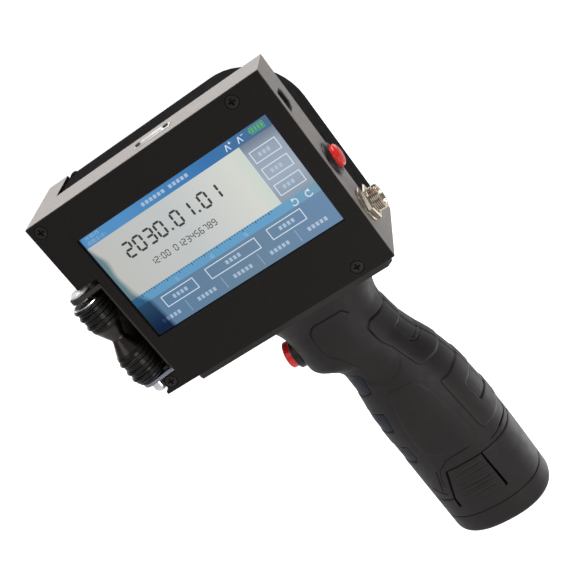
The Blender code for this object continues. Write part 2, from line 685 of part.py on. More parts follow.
def make_roller():
    """Measuring roller: spool, six rubber rings, axle, cap nuts and encoder."""
    axis = (0, 0, 1)
    pivot = (ROLLER_X, ROLLER_Y, ROLLER_Z)
    foot = (ROLLER_X, ROLLER_Y, 0)
    add_object("roller_spool", lathe(spool_profile(), foot, axis, 28), "roller_rubber", pivot)
    heights = sorted([ROLLER_Z - o for o in RING_OFFSETS] + [ROLLER_Z + o for o in RING_OFFSETS])
    for index, height in enumerate(heights, 1):
        section = arc((ROLLER_R - RING_R, height), RING_R, 0, 300, 5)
        add_object(f"roller_ring_{index}", lathe(section, foot, axis, 26), "roller_rubber", pivot)
    make_roller_axle(foot, axis)
    low, high = DISC_Z
    disc = ((AXLE_BORE_R, low), (DISC_R, low), (DISC_R, high), (AXLE_BORE_R, high))
    add_object("encoder_disc", lathe(disc, foot, axis, 32), "cover_black", pivot)
    add_object("encoder_sensor", slab(*SENSOR_BOX), "cartridge_black")


def make_roller_axle(foot, axis):
    """Fixed axle with its collar, domed nut above and lock nut below."""
    foot_z, head_z = AXLE_Z
    axle = [(0, foot_z), (AXLE_R, foot_z), (AXLE_R, COLLAR_Z[0]), (COLLAR_R, COLLAR_Z[0])]
    axle += [(COLLAR_R, COLLAR_Z[1]), (AXLE_R, COLLAR_Z[1]), (AXLE_R, head_z), (0, head_z)]
    add_object("roller_axle", lathe(axle, foot, axis, 16), "bright_steel")
    top = [(0, head_z + GAP), (AXLE_BORE_R, head_z + GAP), (AXLE_BORE_R, TOP_NUT_Z), (TOP_NUT_R, TOP_NUT_Z)]
    top += [(TOP_NUT_R, 60.2), (4.2, 60.9), (3.1, 61.3), (1.7, 61.5), (0, 61.6)]
    add_object("roller_cap_nut_top", lathe(top, foot, axis, 24), "bright_steel")
    low = [(0, foot_z - GAP), (AXLE_BORE_R, foot_z - GAP), (AXLE_BORE_R, LOW_NUT_Z), (LOW_NUT_R, LOW_NUT_Z)]
    low += [(LOW_NUT_R, 4.6), (2.6, 3.0), (1.6, 2.1), (0, 1.9)]
    add_object("roller_cap_nut_bottom", lathe(low, foot, axis, 20), "bright_steel")


# ----------------------------------------------------------------- the grip

def station(z):
    """Front edge, rear edge and half width of the handle at height z."""
    rows = STATIONS
    if z >= rows[0][0]:
        return rows[0][1:]
    for upper, lower in zip(rows, rows[1:]):
        if z >= lower[0]:
            share = (upper[0] - z) / (upper[0] - lower[0])
            return tuple(a + (b - a) * share for a, b in zip(upper[1:], lower[1:]))
    return rows[-1][1:]


def section(z, inset=0.0, count=32):
    """Superellipse cross-section of the handle at height z."""
    front, rear, half = station(z)
    centre = (front + rear) / 2
    a = (rear - front) / 2 - inset
    b = half - inset
    power = 2 / SECTION_POWER
    points = []
    for i in range(count):
        angle = 2 * math.pi * (i + 0.5) / count
        c, s = math.cos(angle), math.sin(angle)
        x = centre + a * math.copysign(abs(c) ** power, c)
        y = MID_Y + b * math.copysign(abs(s) ** power, s)
        points.append((x, y, z))
    return points


def handle_solid(top, bottom, inset=0.0):
    """Lofted handle between two heights."""
    levels = [z for z, *_ in STATIONS if bottom + 0.5 < z < top - 0.5]
    return skin([section(z, inset) for z in [top] + levels + [bottom]])


def seam_outline(grow):
    """Region below the handle's lower edge, in x and z, grown by `grow`."""
    return (
        (130, SEAM_Z + grow), (PAD_TOP_X - grow, SEAM_Z + grow), (PAD_LOW_X - grow, SKIRT_Z + grow),
        (40, SKIRT_Z - 0.4 + grow), (40, -160), (130, -160),
    )


GRIP_SCREWS = ((74.0, -11.6), (90.0, -53.0))
SIDES_Y = (-20.0, 80.0)            # from clear of one side to clear of the other
POST_R = 3.2
POST_BORE_R = 1.5
GRIP_HEAD_Y = (39.9, 41.9)         # seat and top of a grip screw's head
FLANGE_OUTLINE = (
    (16.8, 2.0), (113.3, 2.0), (115.3, 5.0), (115.3, 44.5),
    (113.3, 47.5), (16.8, 47.5), (14.8, 44.5), (14.8, 5.0),
)
FLANGE_LOW_Z = -3.3
TRIGGER_BORE_R = TRIGGER_R + GAP
TRIGGER_BODY_R = 7.2
TRIGGER_RIM_R = 7.9


def trigger_axis():
    """Outward direction of the trigger button."""
    return (-math.cos(TRIGGER_TILT), 0.0, math.sin(TRIGGER_TILT))


def grip_post(x, z, sign):
    """Hollow screw post inside one half of the handle."""
    wall, face = MID_Y + sign * 17.6, MID_Y + sign * GAP
    profile = ((POST_BORE_R, face), (POST_R, face), (POST_R, wall), (POST_BORE_R, wall))
    return lathe(profile, (x, 0, z), (0, 1, 0), 16)


def make_grip_shell(name, sign):
    """One half of the handle; sign -1 is the screen side, +1 the cover side."""
    top = STATIONS[0][0]
    shell = add_object(name, handle_solid(top, SKIRT_Z - 4.0), "grip_plastic")
    parting = MID_Y + sign * 0.1
    near, far = (SIDES_Y[0], parting) if sign < 0 else (parting, SIDES_Y[1])
    keep_inside(shell, slab((20, near, -140), (140, far, 20)))
    cut(shell, handle_solid(top + 3, SKIRT_Z - 8.0, SHELL_WALL))
    cut(shell, prism(seam_outline(0.0), "y", *SIDES_Y))
    for x, z in GRIP_SCREWS:
        join(shell, grip_post(x, z, sign))
    if sign > 0:
        for x, z in GRIP_SCREWS:
            cut(shell, rod(2.9, GRIP_HEAD_Y[0] - GAP, 50, (x, 0, z), (0, 1, 0), 16))
    tube, mouth = TRIGGER_BODY_R + GAP, TRIGGER_RIM_R + GAP
    opening = ((0, -14), (tube, -14), (tube, -2.1), (mouth, -2.1), (mouth, 20), (0, 20))
    cut(shell, lathe(opening, TRIGGER, trigger_axis(), 32))


def make_grip():
    """Mounting flange under the box, the two handle halves and their screws."""
    outline = prism(FLANGE_OUTLINE, "z", FLANGE_LOW_Z, -SEAT)
    flange = add_object("grip_flange", outline, "grip_plastic")
    cut(flange, rod(FLANGE_CABLE_R, -2 * REACH, 2 * REACH, (*CABLE_XY, 0), (0, 0, 1)))
    make_grip_shell("grip_shell_near", -1)
    make_grip_shell("grip_shell_far", 1)
    for index, (x, z) in enumerate(GRIP_SCREWS, 1):
        seat, top = GRIP_HEAD_Y
        profile = ((0, 15), (1.2, 15), (1.2, seat), (2.5, seat), (2.5, 41.2), (2.0, 41.8), (0, top))
        add_object(f"grip_screw_{index}", lathe(profile, (x, 0, z), (0, 1, 0), 20), "screw_black")


def make_trigger():
    """Bezel let into the front of the grip, red cap and switch behind it."""
    out = trigger_axis()
    bore = TRIGGER_BORE_R
    bezel = (
        (0, -9.0), (bore, -9.0), (bore, 0.9), (bore + 0.3, 1.3), (7.6, 1.1), (TRIGGER_RIM_R, 0.6),
        (TRIGGER_RIM_R, -1.8), (TRIGGER_BODY_R, -1.8), (TRIGGER_BODY_R, -12.0), (0, -12.0),
    )
    add_object("trigger_bezel", lathe(bezel, TRIGGER, out, 36), "cover_black")
    cap = ((0, -6.0), (TRIGGER_R, -6.0), (TRIGGER_R, 4.2), (6.0, 4.8), (4.5, 5.2), (0, 5.4))
    add_object("trigger_cap", lathe(cap, TRIGGER, out, 36), "red_plastic", TRIGGER)
    switch = rod(5.0, -18.0, -12.4, TRIGGER, out, 8)
    add_object("trigger_switch", switch, "cartridge_black")


# -------------------------------------------------------------- the battery

def pad_outline(grow):
    """Battery latch button in x and z, grown outward by `grow`."""
    top, low = SEAM_Z - 0.7 + grow, PAD_LOW_Z - grow
    return (
        (77.2 - grow, top), (95.5 + grow, top), (96.1 + grow, low),
        (71.8 - grow, low), (71.8 - grow, SKIRT_Z - 0.3),
    )


def make_battery_latch(name, sign):
    """One spring button of the battery: -1 screen side, +1 cover side."""
    pivot = (LATCH_CENTRE_X, MID_Y + sign * 19.0, -117.0)
    pad = add_object(name, handle_solid(SEAM_Z - 0.2, PAD_LOW_Z - 3.0), "grip_plastic", pivot)
    outer, inner = MID_Y + sign * 40, MID_Y + sign * 18.8
    keep_inside(pad, prism(pad_outline(-0.05), "y", *sorted((outer, inner))))


def cap_levels():
    """Heights and insets of the base cap, rounded at its lower edge."""
    levels = [(CAP_SEAM_Z - SEAT, 0.0)]
    for i in range(6):
        angle = math.radians(90 * i / 5)
        height = -BASE_DROP + CAP_FILLET * (1 - math.sin(angle))
        levels.append((height, CAP_FILLET * (1 - math.cos(angle))))
    return levels


def make_battery():
    """Battery pack that slides down out of the handle."""
    top = SEAM_Z - GAP
    body = handle_solid(top, CAP_SEAM_Z)
    case = add_object("battery_case", body, "grip_plastic", (GRIP_X, MID_Y, SEAM_Z))
    above = [(40, -80), (130, -80), *seam_outline(-GAP)[:4]]
    cut(case, prism(above, "y", *SIDES_Y))
    cut(case, handle_solid(top + 3, CAP_SEAM_Z - 3, 2.0))
    for sign in (-1, 1):
        cut(case, prism(pad_outline(0.35), "y", *sorted((MID_Y + sign * 15, MID_Y + sign * 40))))
    rings = [section(z, inset) for z, inset in cap_levels()]
    cap = add_object("battery_base_cap", skin(rings), "grip_plastic", (GRIP_X, MID_Y, CAP_SEAM_Z))
    cut(cap, handle_solid(CAP_SEAM_Z + 3, -BASE_DROP + 7.0, 2.2))
    make_battery_latch("battery_latch_near", -1)
    make_battery_latch("battery_latch_far", 1)
    for index, (x, y) in enumerate(CELL_XY, 1):
        low, high = CELL_Z
        profile = (
            (0, low), (CELL_R, low), (CELL_R, high - 1), (CELL_R - 1, high),
            (3, high), (3, high + 1), (0, high + 1),
        )
        cell = lathe(profile, (x, y, 0), (0, 0, 1), 24)
        add_object(f"battery_cell_{index}", cell, "cell_wrap", (x, y, low))
    add_object("battery_contact_block", slab(*CONTACT_BLOCK_BOX), "cartridge_black")


def build():
    """Make every piece of the printer."""
    clear_scene()
    make_chassis()
    make_front_panel()
    make_panel_screws()
    make_screen()
    make_electronics()
    make_latch_plate()
    make_usb_port()
    make_power_button()
    make_connector()
    make_bay_cover()
    make_cartridge_bay()
    make_roller_bracket()
    make_roller()
    make_grip()
    make_trigger()
    make_battery()


build()
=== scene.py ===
"""Looks of the hand-held date code inkjet printer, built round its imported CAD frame."""

import json
import math

import bmesh
import bpy
import numpy as np
from mathutils import Matrix, Vector


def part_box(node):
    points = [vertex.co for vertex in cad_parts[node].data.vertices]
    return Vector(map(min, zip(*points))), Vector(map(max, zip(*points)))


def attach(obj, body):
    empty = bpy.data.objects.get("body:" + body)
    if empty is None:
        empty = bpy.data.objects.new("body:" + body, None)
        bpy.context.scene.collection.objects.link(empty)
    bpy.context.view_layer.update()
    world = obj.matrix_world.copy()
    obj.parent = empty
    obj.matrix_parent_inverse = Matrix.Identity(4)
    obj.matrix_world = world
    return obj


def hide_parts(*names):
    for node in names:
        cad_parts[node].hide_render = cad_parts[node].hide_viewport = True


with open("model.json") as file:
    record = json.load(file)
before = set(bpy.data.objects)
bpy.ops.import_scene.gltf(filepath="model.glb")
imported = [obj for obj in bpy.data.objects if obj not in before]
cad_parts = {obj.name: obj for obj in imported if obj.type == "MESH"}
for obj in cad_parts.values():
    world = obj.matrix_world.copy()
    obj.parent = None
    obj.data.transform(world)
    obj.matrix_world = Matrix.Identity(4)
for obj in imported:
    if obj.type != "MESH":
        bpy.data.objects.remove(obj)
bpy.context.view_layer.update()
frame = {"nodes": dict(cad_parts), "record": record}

MM = 0.001
UP = (0, 0, 1)
OUT = (1, 0, 0)        # outward at the rear end

# The box's own millimetres: x from the print end, y from the screen side,
# z from the underside.  Its corner is the front panel's lower corner.
PANEL_LOW, PANEL_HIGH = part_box("front_panel")
BOX_W = (PANEL_HIGH.x - PANEL_LOW.x) / MM
MID_Y = -PANEL_LOW.y / MM
BASE_Z_LOW = -147.0                 # the battery's underside


def at(x, y, z):
    """Box millimetres to metres in the part's frame."""
    return PANEL_LOW + Vector((x, y, z)) * MM


def inside(point):
    """Metres in the part's frame to box millimetres."""
    return (point - PANEL_LOW) / MM


def node_box(node):
    """A CAD node's corners in box millimetres."""
    low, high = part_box(node)
    return inside(low), inside(high)


def node_centre(node):
    """The middle of a CAD node's box, in box millimetres."""
    low, high = node_box(node)
    return (low + high) / 2


# ---------------------------------------------------------------- materials

class Shader:
    """A Principled material with short helpers for its procedural nodes."""

    def __init__(self, name):
        self.material = bpy.data.materials.new(name)
        self.material.use_nodes = True
        self.tree = self.material.node_tree
        self.bsdf = self.tree.nodes["Principled BSDF"]
        self.where = self.tree.nodes.new("ShaderNodeTexCoord").outputs["Object"]

    def node(self, kind, **inputs):
        """Add a node and set or link its inputs by name."""
        made = self.tree.nodes.new(kind)
        for key, value in inputs.items():
            self.feed(made.inputs[key.replace("_", " ")], value)
        return made

    def feed(self, socket, value):
        """Link an output into a socket, or set the socket's value."""
        if isinstance(value, bpy.types.NodeSocket):
            self.tree.links.new(value, socket)
        else:
            socket.default_value = value

    def noise(self, scale, detail=3.0, rough=0.55, stretch=None):
        """Noise in object space; scale is in features per metre."""
        where = self.where
        if stretch:
            where = self.node("ShaderNodeMapping", Vector=where, Scale=stretch).outputs["Vector"]
        made = self.node("ShaderNodeTexNoise", Vector=where, Scale=scale, Detail=detail, Roughness=rough)
        return made.outputs["Fac"]

    def remap(self, value, low, high, start=0.3, stop=0.7):
        """Spread a value between two numbers, clamped at both ends."""
        limits = {"From_Min": start, "From_Max": stop, "To_Min": low, "To_Max": high}
        return self.node("ShaderNodeMapRange", Value=value, **limits).outputs["Result"]

    def combine(self, kind, operation, first, second):
        """The number that a maths node makes of two inputs."""
        made = self.tree.nodes.new(kind)
        made.operation = operation
        self.feed(made.inputs[0], first)
        self.feed(made.inputs[1], second)
        return made.outputs["Value"]

    def place(self, axis):
        """One coordinate in object space."""
        return self.node("ShaderNodeSeparateXYZ", Vector=self.where).outputs[axis]

    def blend(self, share, first, second, mode="MIX"):
        """Mix two colours, each given as numbers or as a node's output."""
        made = self.tree.nodes.new("ShaderNodeMix")
        made.data_type = "RGBA"
        made.blend_type = mode
        self.feed(made.inputs["Factor"], share)
        for key, colour in (("A", first), ("B", second)):
            linked = isinstance(colour, bpy.types.NodeSocket)
            self.feed(made.inputs[key], colour if linked else (*colour, 1.0))
        return made.outputs["Result"]

    def attribute(self, name):
        """A number stored on the mesh."""
        made = self.tree.nodes.new("ShaderNodeAttribute")
        made.attribute_name = name
        return made.outputs["Fac"]

    def bump(self, height, distance):
        """Feed a height into the surface normal; distance is in metres."""
        made = self.node("ShaderNodeBump", Height=height, Distance=distance)
        previous = self.bsdf.inputs["Normal"]
        if previous.is_linked:
            self.tree.links.new(previous.links[0].from_socket, made.inputs["Normal"])
        self.tree.links.new(made.outputs["Normal"], previous)

    def set(self, **inputs):
        """Set Principled inputs by name."""
        for key, value in inputs.items():
            self.feed(self.bsdf.inputs[key.replace("_", " ")], value)
        return self


def tone(colour, factor):
    """A colour made lighter or darker."""
    return tuple(min(1.0, c * factor) for c in colour)


def rgb(red, green, blue):
    """Display values of 0 to 255 as linear light."""
    values = (channel / 255 for channel in (red, green, blue))
    return tuple(v / 12.92 if v <= 0.04045 else ((v + 0.055) / 1.055) ** 2.4 for v in values)


PAINTED_HIGHLIGHT_TONE, PAINTED_SHADE_TONE = 2.6, 0.12    # how light the painted highlight on crests and how dark the painted shade in the mould lines are


def moulded(name, colour, rough, grain=1400.0, depth=0.00004, spread=0.18, shine=0.5, ior=1.5, sheen=0.0):
    """Moulded plastic or rubber with spark texture and cloudy gloss.

    The mesh's shading numbers paint shade into the mould lines above 0 and a highlight along the crests below
    0.
    """
    s = Shader(name)
    drift = s.remap(s.noise(45.0), 0.0, 1.0)
    body = s.blend(drift, tone(colour, 1 - spread), tone(colour, 1 + spread))
    painted_crease_shading = s.attribute("painted_crease_shading")
    # painted highlight: crests turn pale where the numbers fall below 0
    body = s.blend(s.remap(painted_crease_shading, 0.0, 1.0, 0.0, -1.0), body, tone(colour, PAINTED_HIGHLIGHT_TONE))
    # painted shade: the mould lines turn dark where the numbers rise above 0
    s.set(Base_Color=s.blend(painted_crease_shading, body, tone(colour, PAINTED_SHADE_TONE)))
    cloudy = s.remap(s.noise(260.0), rough - 0.05, rough + 0.07)
    s.set(Roughness=cloudy, IOR=ior, Sheen_Weight=sheen, Sheen_Roughness=0.45)
    s.set(Specular_IOR_Level=s.remap(painted_crease_shading, shine, 0.0, 0.0, 1.0))
    s.bump(s.noise(grain, 2.0), depth)
    return s.material


def painted(name, colour, rough, depth=0.00003, shine=0.4):
    """Textured metal coat: small orange peel over a fine speckle, with faint scuffs."""
    s = Shader(name)
    speckle = s.remap(s.noise(2600.0, 1.0), 0.0, 1.0, 0.4, 0.6)
    fleck = s.blend(speckle, tone(colour, 0.86), tone(colour, 1.12))
    scuffs = s.noise(1.0, 2.0, 0.5, stretch=(90.0, 90.0, 900.0))
    worn = s.remap(scuffs, 0.0, 0.25, 0.68, 0.8)
    s.set(Base_Color=s.blend(worn, fleck, tone(colour, 1.7)), Specular_IOR_Level=shine)
    s.set(Roughness=s.remap(s.noise(700.0), rough - 0.05, rough + 0.08))
    s.bump(s.noise(1100.0, 3.0), depth)
    return s.material


def plated(name, colour, rough, lines=0.0, axis=2):
    """Bright metal with faint turning or brushing lines across one axis."""
    s = Shader(name)
    stretch = [60.0, 60.0, 60.0]
    stretch[axis] = 2500.0
    marks = s.noise(1.0, 3.0, 0.6, stretch=tuple(stretch))
    s.set(Base_Color=s.blend(s.remap(marks, 0.0, 1.0), tone(colour, 0.9), tone(colour, 1.06)))
    s.set(Metallic=1.0, Roughness=s.remap(marks, rough * 0.8, rough * 1.3))
    if lines:
        s.bump(marks, lines)
    return s.material


def circuit(name):
    """Solder mask with copper tracks under it and tinned pads."""
    s = Shader(name)
    mask = {"Color1": (0.010, 0.11, 0.045, 1), "Color2": (0.018, 0.15, 0.065, 1)}
    tracks = s.node("ShaderNodeTexBrick", Vector=s.where, Scale=220.0, Mortar=(0.05, 0.30, 0.12, 1), **mask)
    dots = s.node("ShaderNodeTexVoronoi", Vector=s.where, Scale=420.0)
    pads = s.remap(dots.outputs["Distance"], 1.0, 0.0, 0.10, 0.16)
    s.set(Base_Color=s.blend(pads, tracks.outputs["Color"], (0.75, 0.72, 0.62)), Roughness=0.35)
    s.bump(tracks.outputs["Fac"], 0.00003)
    return s.material


def make_materials():
    """Every material of the printer by name, apart from the lit screen's."""
    return {
        "chassis": painted("chassis_paint", (0.33, 0.305, 0.29), 0.5),
        "panel": painted("panel_paint", (0.0132, 0.0100, 0.0092), 0.5, 0.00002, 0.22),
        "screw": plated("black_screw", (0.056, 0.049, 0.042), 0.34, 0.00001),
        # near black for slots, notches and the USB opening: painted shade inside the recesses
        "slot": moulded("recess_painted_shade", (0.002, 0.002, 0.002), 0.7),
        "steel": plated("bright_steel", (0.86, 0.86, 0.87), 0.16),
        "satin": plated("satin_steel", (0.95, 0.93, 0.91), 0.42),
        "chrome": plated("chrome_plate", (0.96, 0.96, 0.97), 0.09),
        "nickel": plated("nickel_plate", (0.62, 0.55, 0.45), 0.16, 0.000004, 0),
        "gold": plated("gold_contact", (0.90, 0.66, 0.25), 0.22),
        "red": moulded("red_plastic", (0.95, 0.022, 0.016), 0.2, 500.0, 0.000006, 0.05, 0.6),
        "cover": moulded("cover_plastic", (0.0076, 0.0066, 0.0068), 0.65, 1700.0, 0.00003, ior=1.09),
        "ink": moulded("cartridge_plastic", (0.016, 0.016, 0.019), 0.4, 900.0, 0.00002),
        "rubber": moulded("roller_rubber", (0.0105, 0.0088, 0.0078), 0.22, 1200.0, 0.000006, shine=0.25),
        "cone": plated("roller_cone", (0.072, 0.063, 0.057), 0.27, 0.000003),
        "grip": moulded("grip_plastic", (0.0150, 0.0110, 0.0102), 0.48, 1500.0, shine=0.4, sheen=0.035),
        "pad": moulded("finger_pad", (0.012, 0.014, 0.027), 0.45, 900.0, 0.00002, shine=0.25),
        "wrap": moulded("cell_wrap", (0.004, 0.017, 0.045), 0.4, 150.0, 0.00002, 0.1),
        "board": circuit("circuit_board"),
        "glass": moulded("screen_glass", (0.004, 0.005, 0.008), 0.08, 200.0, 0.0, shine=0.5),
        "bezel": moulded("bezel_plastic", (0.011, 0.009, 0.009), 0.38, 900.0, 0.00001, shine=0.4),
        "insert": moulded("insert_plastic", (0.006, 0.006, 0.006), 0.4, 900.0, 0.00001),
        # cap nut: chrome drawn as near-white diffuse plastic, a painted reflection of its bright glare
        "cap": moulded("cap_nut_painted_reflection", (0.74, 0.74, 0.75), 0.25, 900.0, 0.000004, 0.03, 0.8),
        "bracket": plated("bracket_plate", (0.085, 0.076, 0.070), 0.36),
        "foot": plated("bracket_foot_plate", (0.34, 0.36, 0.42), 0.3),
        # the grip's plastic made some two times lighter: a painted highlight along the flange's edge
        "flange": moulded("flange_plastic_painted_highlight", (0.034, 0.027, 0.025), 0.48, 1500.0, shine=0.4),
    }


# ------------------------------------------------------------- mesh helpers

def add_object(name, data):
    """A new object in the scene."""
    obj = bpy.data.objects.new(name, data)
    bpy.context.scene.collection.objects.link(obj)
    return obj


def plain_mesh(name, bm):
    """A mesh made of a bmesh, which is freed."""
    mesh = bpy.data.meshes.new(name)
    bm.to_mesh(mesh)
    bm.free()
    return mesh


def solid_mesh(name, bm):
    """A mesh in metres, its faces turned outward, made of a bmesh in box millimetres."""
    for vert in bm.verts:
        vert.co = at(*vert.co)
    bmesh.ops.recalc_face_normals(bm, faces=bm.faces)
    return plain_mesh(name, bm)


def piece(name, bm, material, body, replaces=(), angle=40.0, more=()):
    """Make an object of a bmesh in box millimetres and let it ride on a body."""
    return dress(name, solid_mesh(name, bm), material, body, replaces, angle, more)


def dress(name, mesh, material, body, replaces=(), angle=40.0, more=()):
    """Wrap a finished mesh in an object, shade it and let it ride on a body."""
    mesh.shade_smooth()
    mesh.set_sharp_from_angle(angle=math.radians(angle))
    mesh.materials.clear()
    for item in (material, *more):
        mesh.materials.append(item)
    obj = add_object(name, mesh)
    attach(obj, body)
    if replaces:
        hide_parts(*replaces)
    return obj


def skin(rings):
    """A closed bmesh skinned over equal rings of points."""
    bm = bmesh.new()
    loops = [[bm.verts.new(point) for point in ring] for ring in rings]
    for low, high in zip(loops, loops[1:]):
        for i in range(len(low)):
            j = (i + 1) % len(low)
            bm.faces.new((low[i], low[j], high[j], high[i]))
    bm.faces.new(loops[0])
    bm.faces.new(loops[-1])
    return bm


def prism(outline, axis, start, stop):
    """An outline swept along an axis; its two numbers are the other two axes."""
    def point(pair, level):
        if axis == "x":
            return (level, pair[0], pair[1])
        if axis == "y":
            return (pair[0], level, pair[1])
        return (pair[0], pair[1], level)

    return skin([[point(pair, start) for pair in outline], [point(pair, stop) for pair in outline]])


def slab(low, high):
    """A block between two corners."""
    outline = ((low[0], low[1]), (high[0], low[1]), (high[0], high[1]), (low[0], high[1]))
    return prism(outline, "z", low[2], high[2])


def arc(centre, radius, start_deg, stop_deg, steps):
    """Points along an arc, both ends included."""
    span = stop_deg - start_deg
    angles = [math.radians(start_deg + span * i / steps) for i in range(steps + 1)]
    return [(centre[0] + radius * math.cos(a), centre[1] + radius * math.sin(a)) for a in angles]


def dome(radius, base, rise, steps=9):
    """Profile of a domed end, from its rim at `base` to its middle."""
    turns = [math.pi / 2 * i / steps for i in range(steps)]
    return [(radius * math.cos(a), base + rise * math.sin(a)) for a in turns] + [(0, base + rise)]


def lathe(profile, centre, axis, segments=64):
    """Turn a closed profile of (radius, height); radius 0 at both ends makes a solid."""
    bm = bmesh.new()
    turned = Vector(axis).normalized().to_track_quat("Z", "Y")
    base = Vector(centre)
    loops = []
    for radius, height in profile:
        if radius == 0:
            loops.append([bm.verts.new(base + turned @ Vector((0, 0, height)))])
            continue
        ring = []
        for i in range(segments):
            angle = 2 * math.pi * i / segments
            spot = Vector((radius * math.cos(angle), radius * math.sin(angle), height))
            ring.append(bm.verts.new(base + turned @ spot))
        loops.append(ring)
    pairs = list(zip(loops, loops[1:]))
    if profile[0][0] != 0:
        pairs.append((loops[-1], loops[0]))
    for low, high in pairs:
        for i in range(segments):
            j = (i + 1) % segments
            corners = [low[i % len(low)], low[j % len(low)], high[j % len(high)], high[i % len(high)]]
            bm.faces.new(list(dict.fromkeys(corners)))
    return bm


def bevelled(bm, width, segments=2, angle=40.0):
    """Round a bmesh's sharp edges."""
    sharp = [e for e in bm.edges if e.is_manifold and e.calc_face_angle(0) > math.radians(angle)]
    bmesh.ops.bevel(
        bm, geom=sharp, offset=width, segments=segments, profile=0.6, affect="EDGES", clamp_overlap=True)
    return bm


def span(node):
    """A CAD node's lower z, upper z and half its width, in box millimetres."""
    low, high = node_box(node)
    return low.z, high.z, (high.x - low.x) / 2


def body_of(node):
    """The CAD body that a node belongs to."""
    groups = frame["record"]["behaviour"]["bodies"]
    return next(body for body, members in groups.items() if node in members)


def refined(node, material, width, segments=2, more=()):
    """Stand in for a CAD node with its own shape, its edges softened."""
    bm = bmesh.new()
    bm.from_mesh(frame["nodes"][node].data)
    bmesh.ops.remove_doubles(bm, verts=bm.verts, dist=2e-6)
    bmesh.ops.dissolve_limit(bm, angle_limit=math.radians(1.0), verts=bm.verts, edges=bm.edges)
    for vert in bm.verts:
        vert.co = inside(vert.co)
    bevelled(bm, width, segments)
    obj = piece(node + "_finish", bm, material, body_of(node), (node,), 30.0, more)
    normals = obj.modifiers.new("even_normals", "WEIGHTED_NORMAL")
    normals.keep_sharp = True
    return obj


def recolour(obj, index, wanted):
    """Give the faces whose middle passes a test, in box millimetres, another material."""
    for face in obj.data.polygons:
        if wanted(inside(face.center), face.normal):
            face.material_index = index


def carve(obj, cutters, slot=0):
    """Cut solids out of a finished piece; the cut faces take material `slot`."""
    helpers = []
    for bm in cutters:
        mesh = solid_mesh("cutter", bm)
        mesh.materials.append(obj.data.materials[slot])
        helper = add_object("cutter", mesh)
        helpers.append(helper)
        step = obj.modifiers.new("carve", "BOOLEAN")
        step.operation = "DIFFERENCE"
        step.object = helper
        step.material_mode = "TRANSFER"
    graph = bpy.context.evaluated_depsgraph_get()
    solid = bpy.data.meshes.new_from_object(obj.evaluated_get(graph))
    obj.modifiers.clear()
    old = obj.data
    obj.data = solid
    bpy.data.meshes.remove(old)
    for helper in helpers:
        bpy.data.objects.remove(helper)
    return obj


# -------------------------------------------------------------------- box

def make_box(m):
    """Metal housing, front panel, cover, flange, guard, catch plate, bracket and socket."""
    chassis = refined("chassis", m["chassis"], 0.35, 2, (m["cover"],))
    cover = node_box("bay_cover")[0]

    def beside_cover(spot, normal):
        return abs(spot.x - cover.x + 0.4) < 0.4 and normal.x > 0.6 and spot.y > cover.y - 0.5

    recolour(chassis, 1, beside_cover)
    refined("front_panel", m["panel"], 0.22)
    refined("bay_cover", m["cover"], 0.5)
    # the flange's lighter plastic is a painted highlight along its edge
    refined("grip_flange", m["flange"], 0.7, 3)
    refined("print_guard", m["cover"], 0.5)
    refined("latch_plate", m["satin"], 0.15)
    bracket = refined("roller_bracket", m["bracket"], 0.25, 2, (m["foot"],))
    foot_top = node_box("encoder_disc")[0].z
    recolour(bracket, 1, lambda spot, normal: spot.z < foot_top)
    # the USB port's steel shell takes the near-black recess colour: painted shade in its opening
    refined("usb_port", m["slot"], 0.12, 1)


def cross_cutters(centre, face, deep, radius):
    """Two tapered slots of a cross recess, cut along +y from `face`."""
    cutters = []
    for wide, tall in ((0.62, 0.16), (0.16, 0.62)):
        a, b = wide * radius, tall * radius
        corners = ((-a, -b), (a, -b), (a, b), (-a, b))
        mouth = [(centre.x + 1.05 * x, face - 0.5, centre.z + 1.05 * z) for x, z in corners]
        floor = [(centre.x + 0.7 * x, face + deep, centre.z + 0.7 * z) for x, z in corners]
        cutters.append(skin([mouth, floor]))
    return cutters


def screw(m, name, node, shape, cutters, angle=40.0):
    """A turned screw of the housing whose slots are cut into its head."""
    made = piece(name, shape, m["screw"], "housing", (node,), angle, (m["slot"],))
    # the cut slot faces take the near-black recess colour: painted shade
    carve(made, cutters, 1)


def make_panel_screws(m):
    """Four countersunk cross-head screws with threaded shanks."""
    for index in range(1, 5):
        node = f"panel_screw_{index}"
        low, high = node_box(node)
        centre = (low + high) / 2
        head = span(node)[2]
        shank = 1.2
        profile = [(0, 0.0), (head - 0.35, 0.0), (head - 0.1, 0.06), (head, 0.2), (shank, 1.7)]
        for turn in range(8):
            base = 2.4 + turn
            profile += [(shank, base), (shank - 0.25, base + 0.3), (shank, base + 0.6)]
        length = high.y - low.y
        profile += [(shank, length - 0.6), (0.8, length), (0, length)]
        shape = lathe(profile, (centre.x, low.y, centre.z), (0, 1, 0), 48)
        screw(m, f"panel_screw_head_{index}", node, shape, cross_cutters(centre, low.y, 1.1, head), 35.0)


def make_catch_screws(m):
    """Two small slotted screws of the catch plate."""
    for index in (1, 2):
        node = f"latch_plate_screw_{index}"
        centre = node_centre(node)
        foot, top, head = span(node)
        shank = 0.7
        profile = [(0, foot), (shank, foot), (shank, top - 0.55), (head, top - 0.5)]
        profile += dome(head - 0.05, top - 0.3, 0.3, 6)
        shape = lathe(profile, (centre.x, centre.y, 0), UP, 40)
        slot = slab((centre.x - 1.5, centre.y - 0.16, top - 0.35), (centre.x + 1.5, centre.y + 0.16, top + 1))
        screw(m, f"catch_screw_{index}", node, shape, [slot])


# ------------------------------------------------------------------ screen

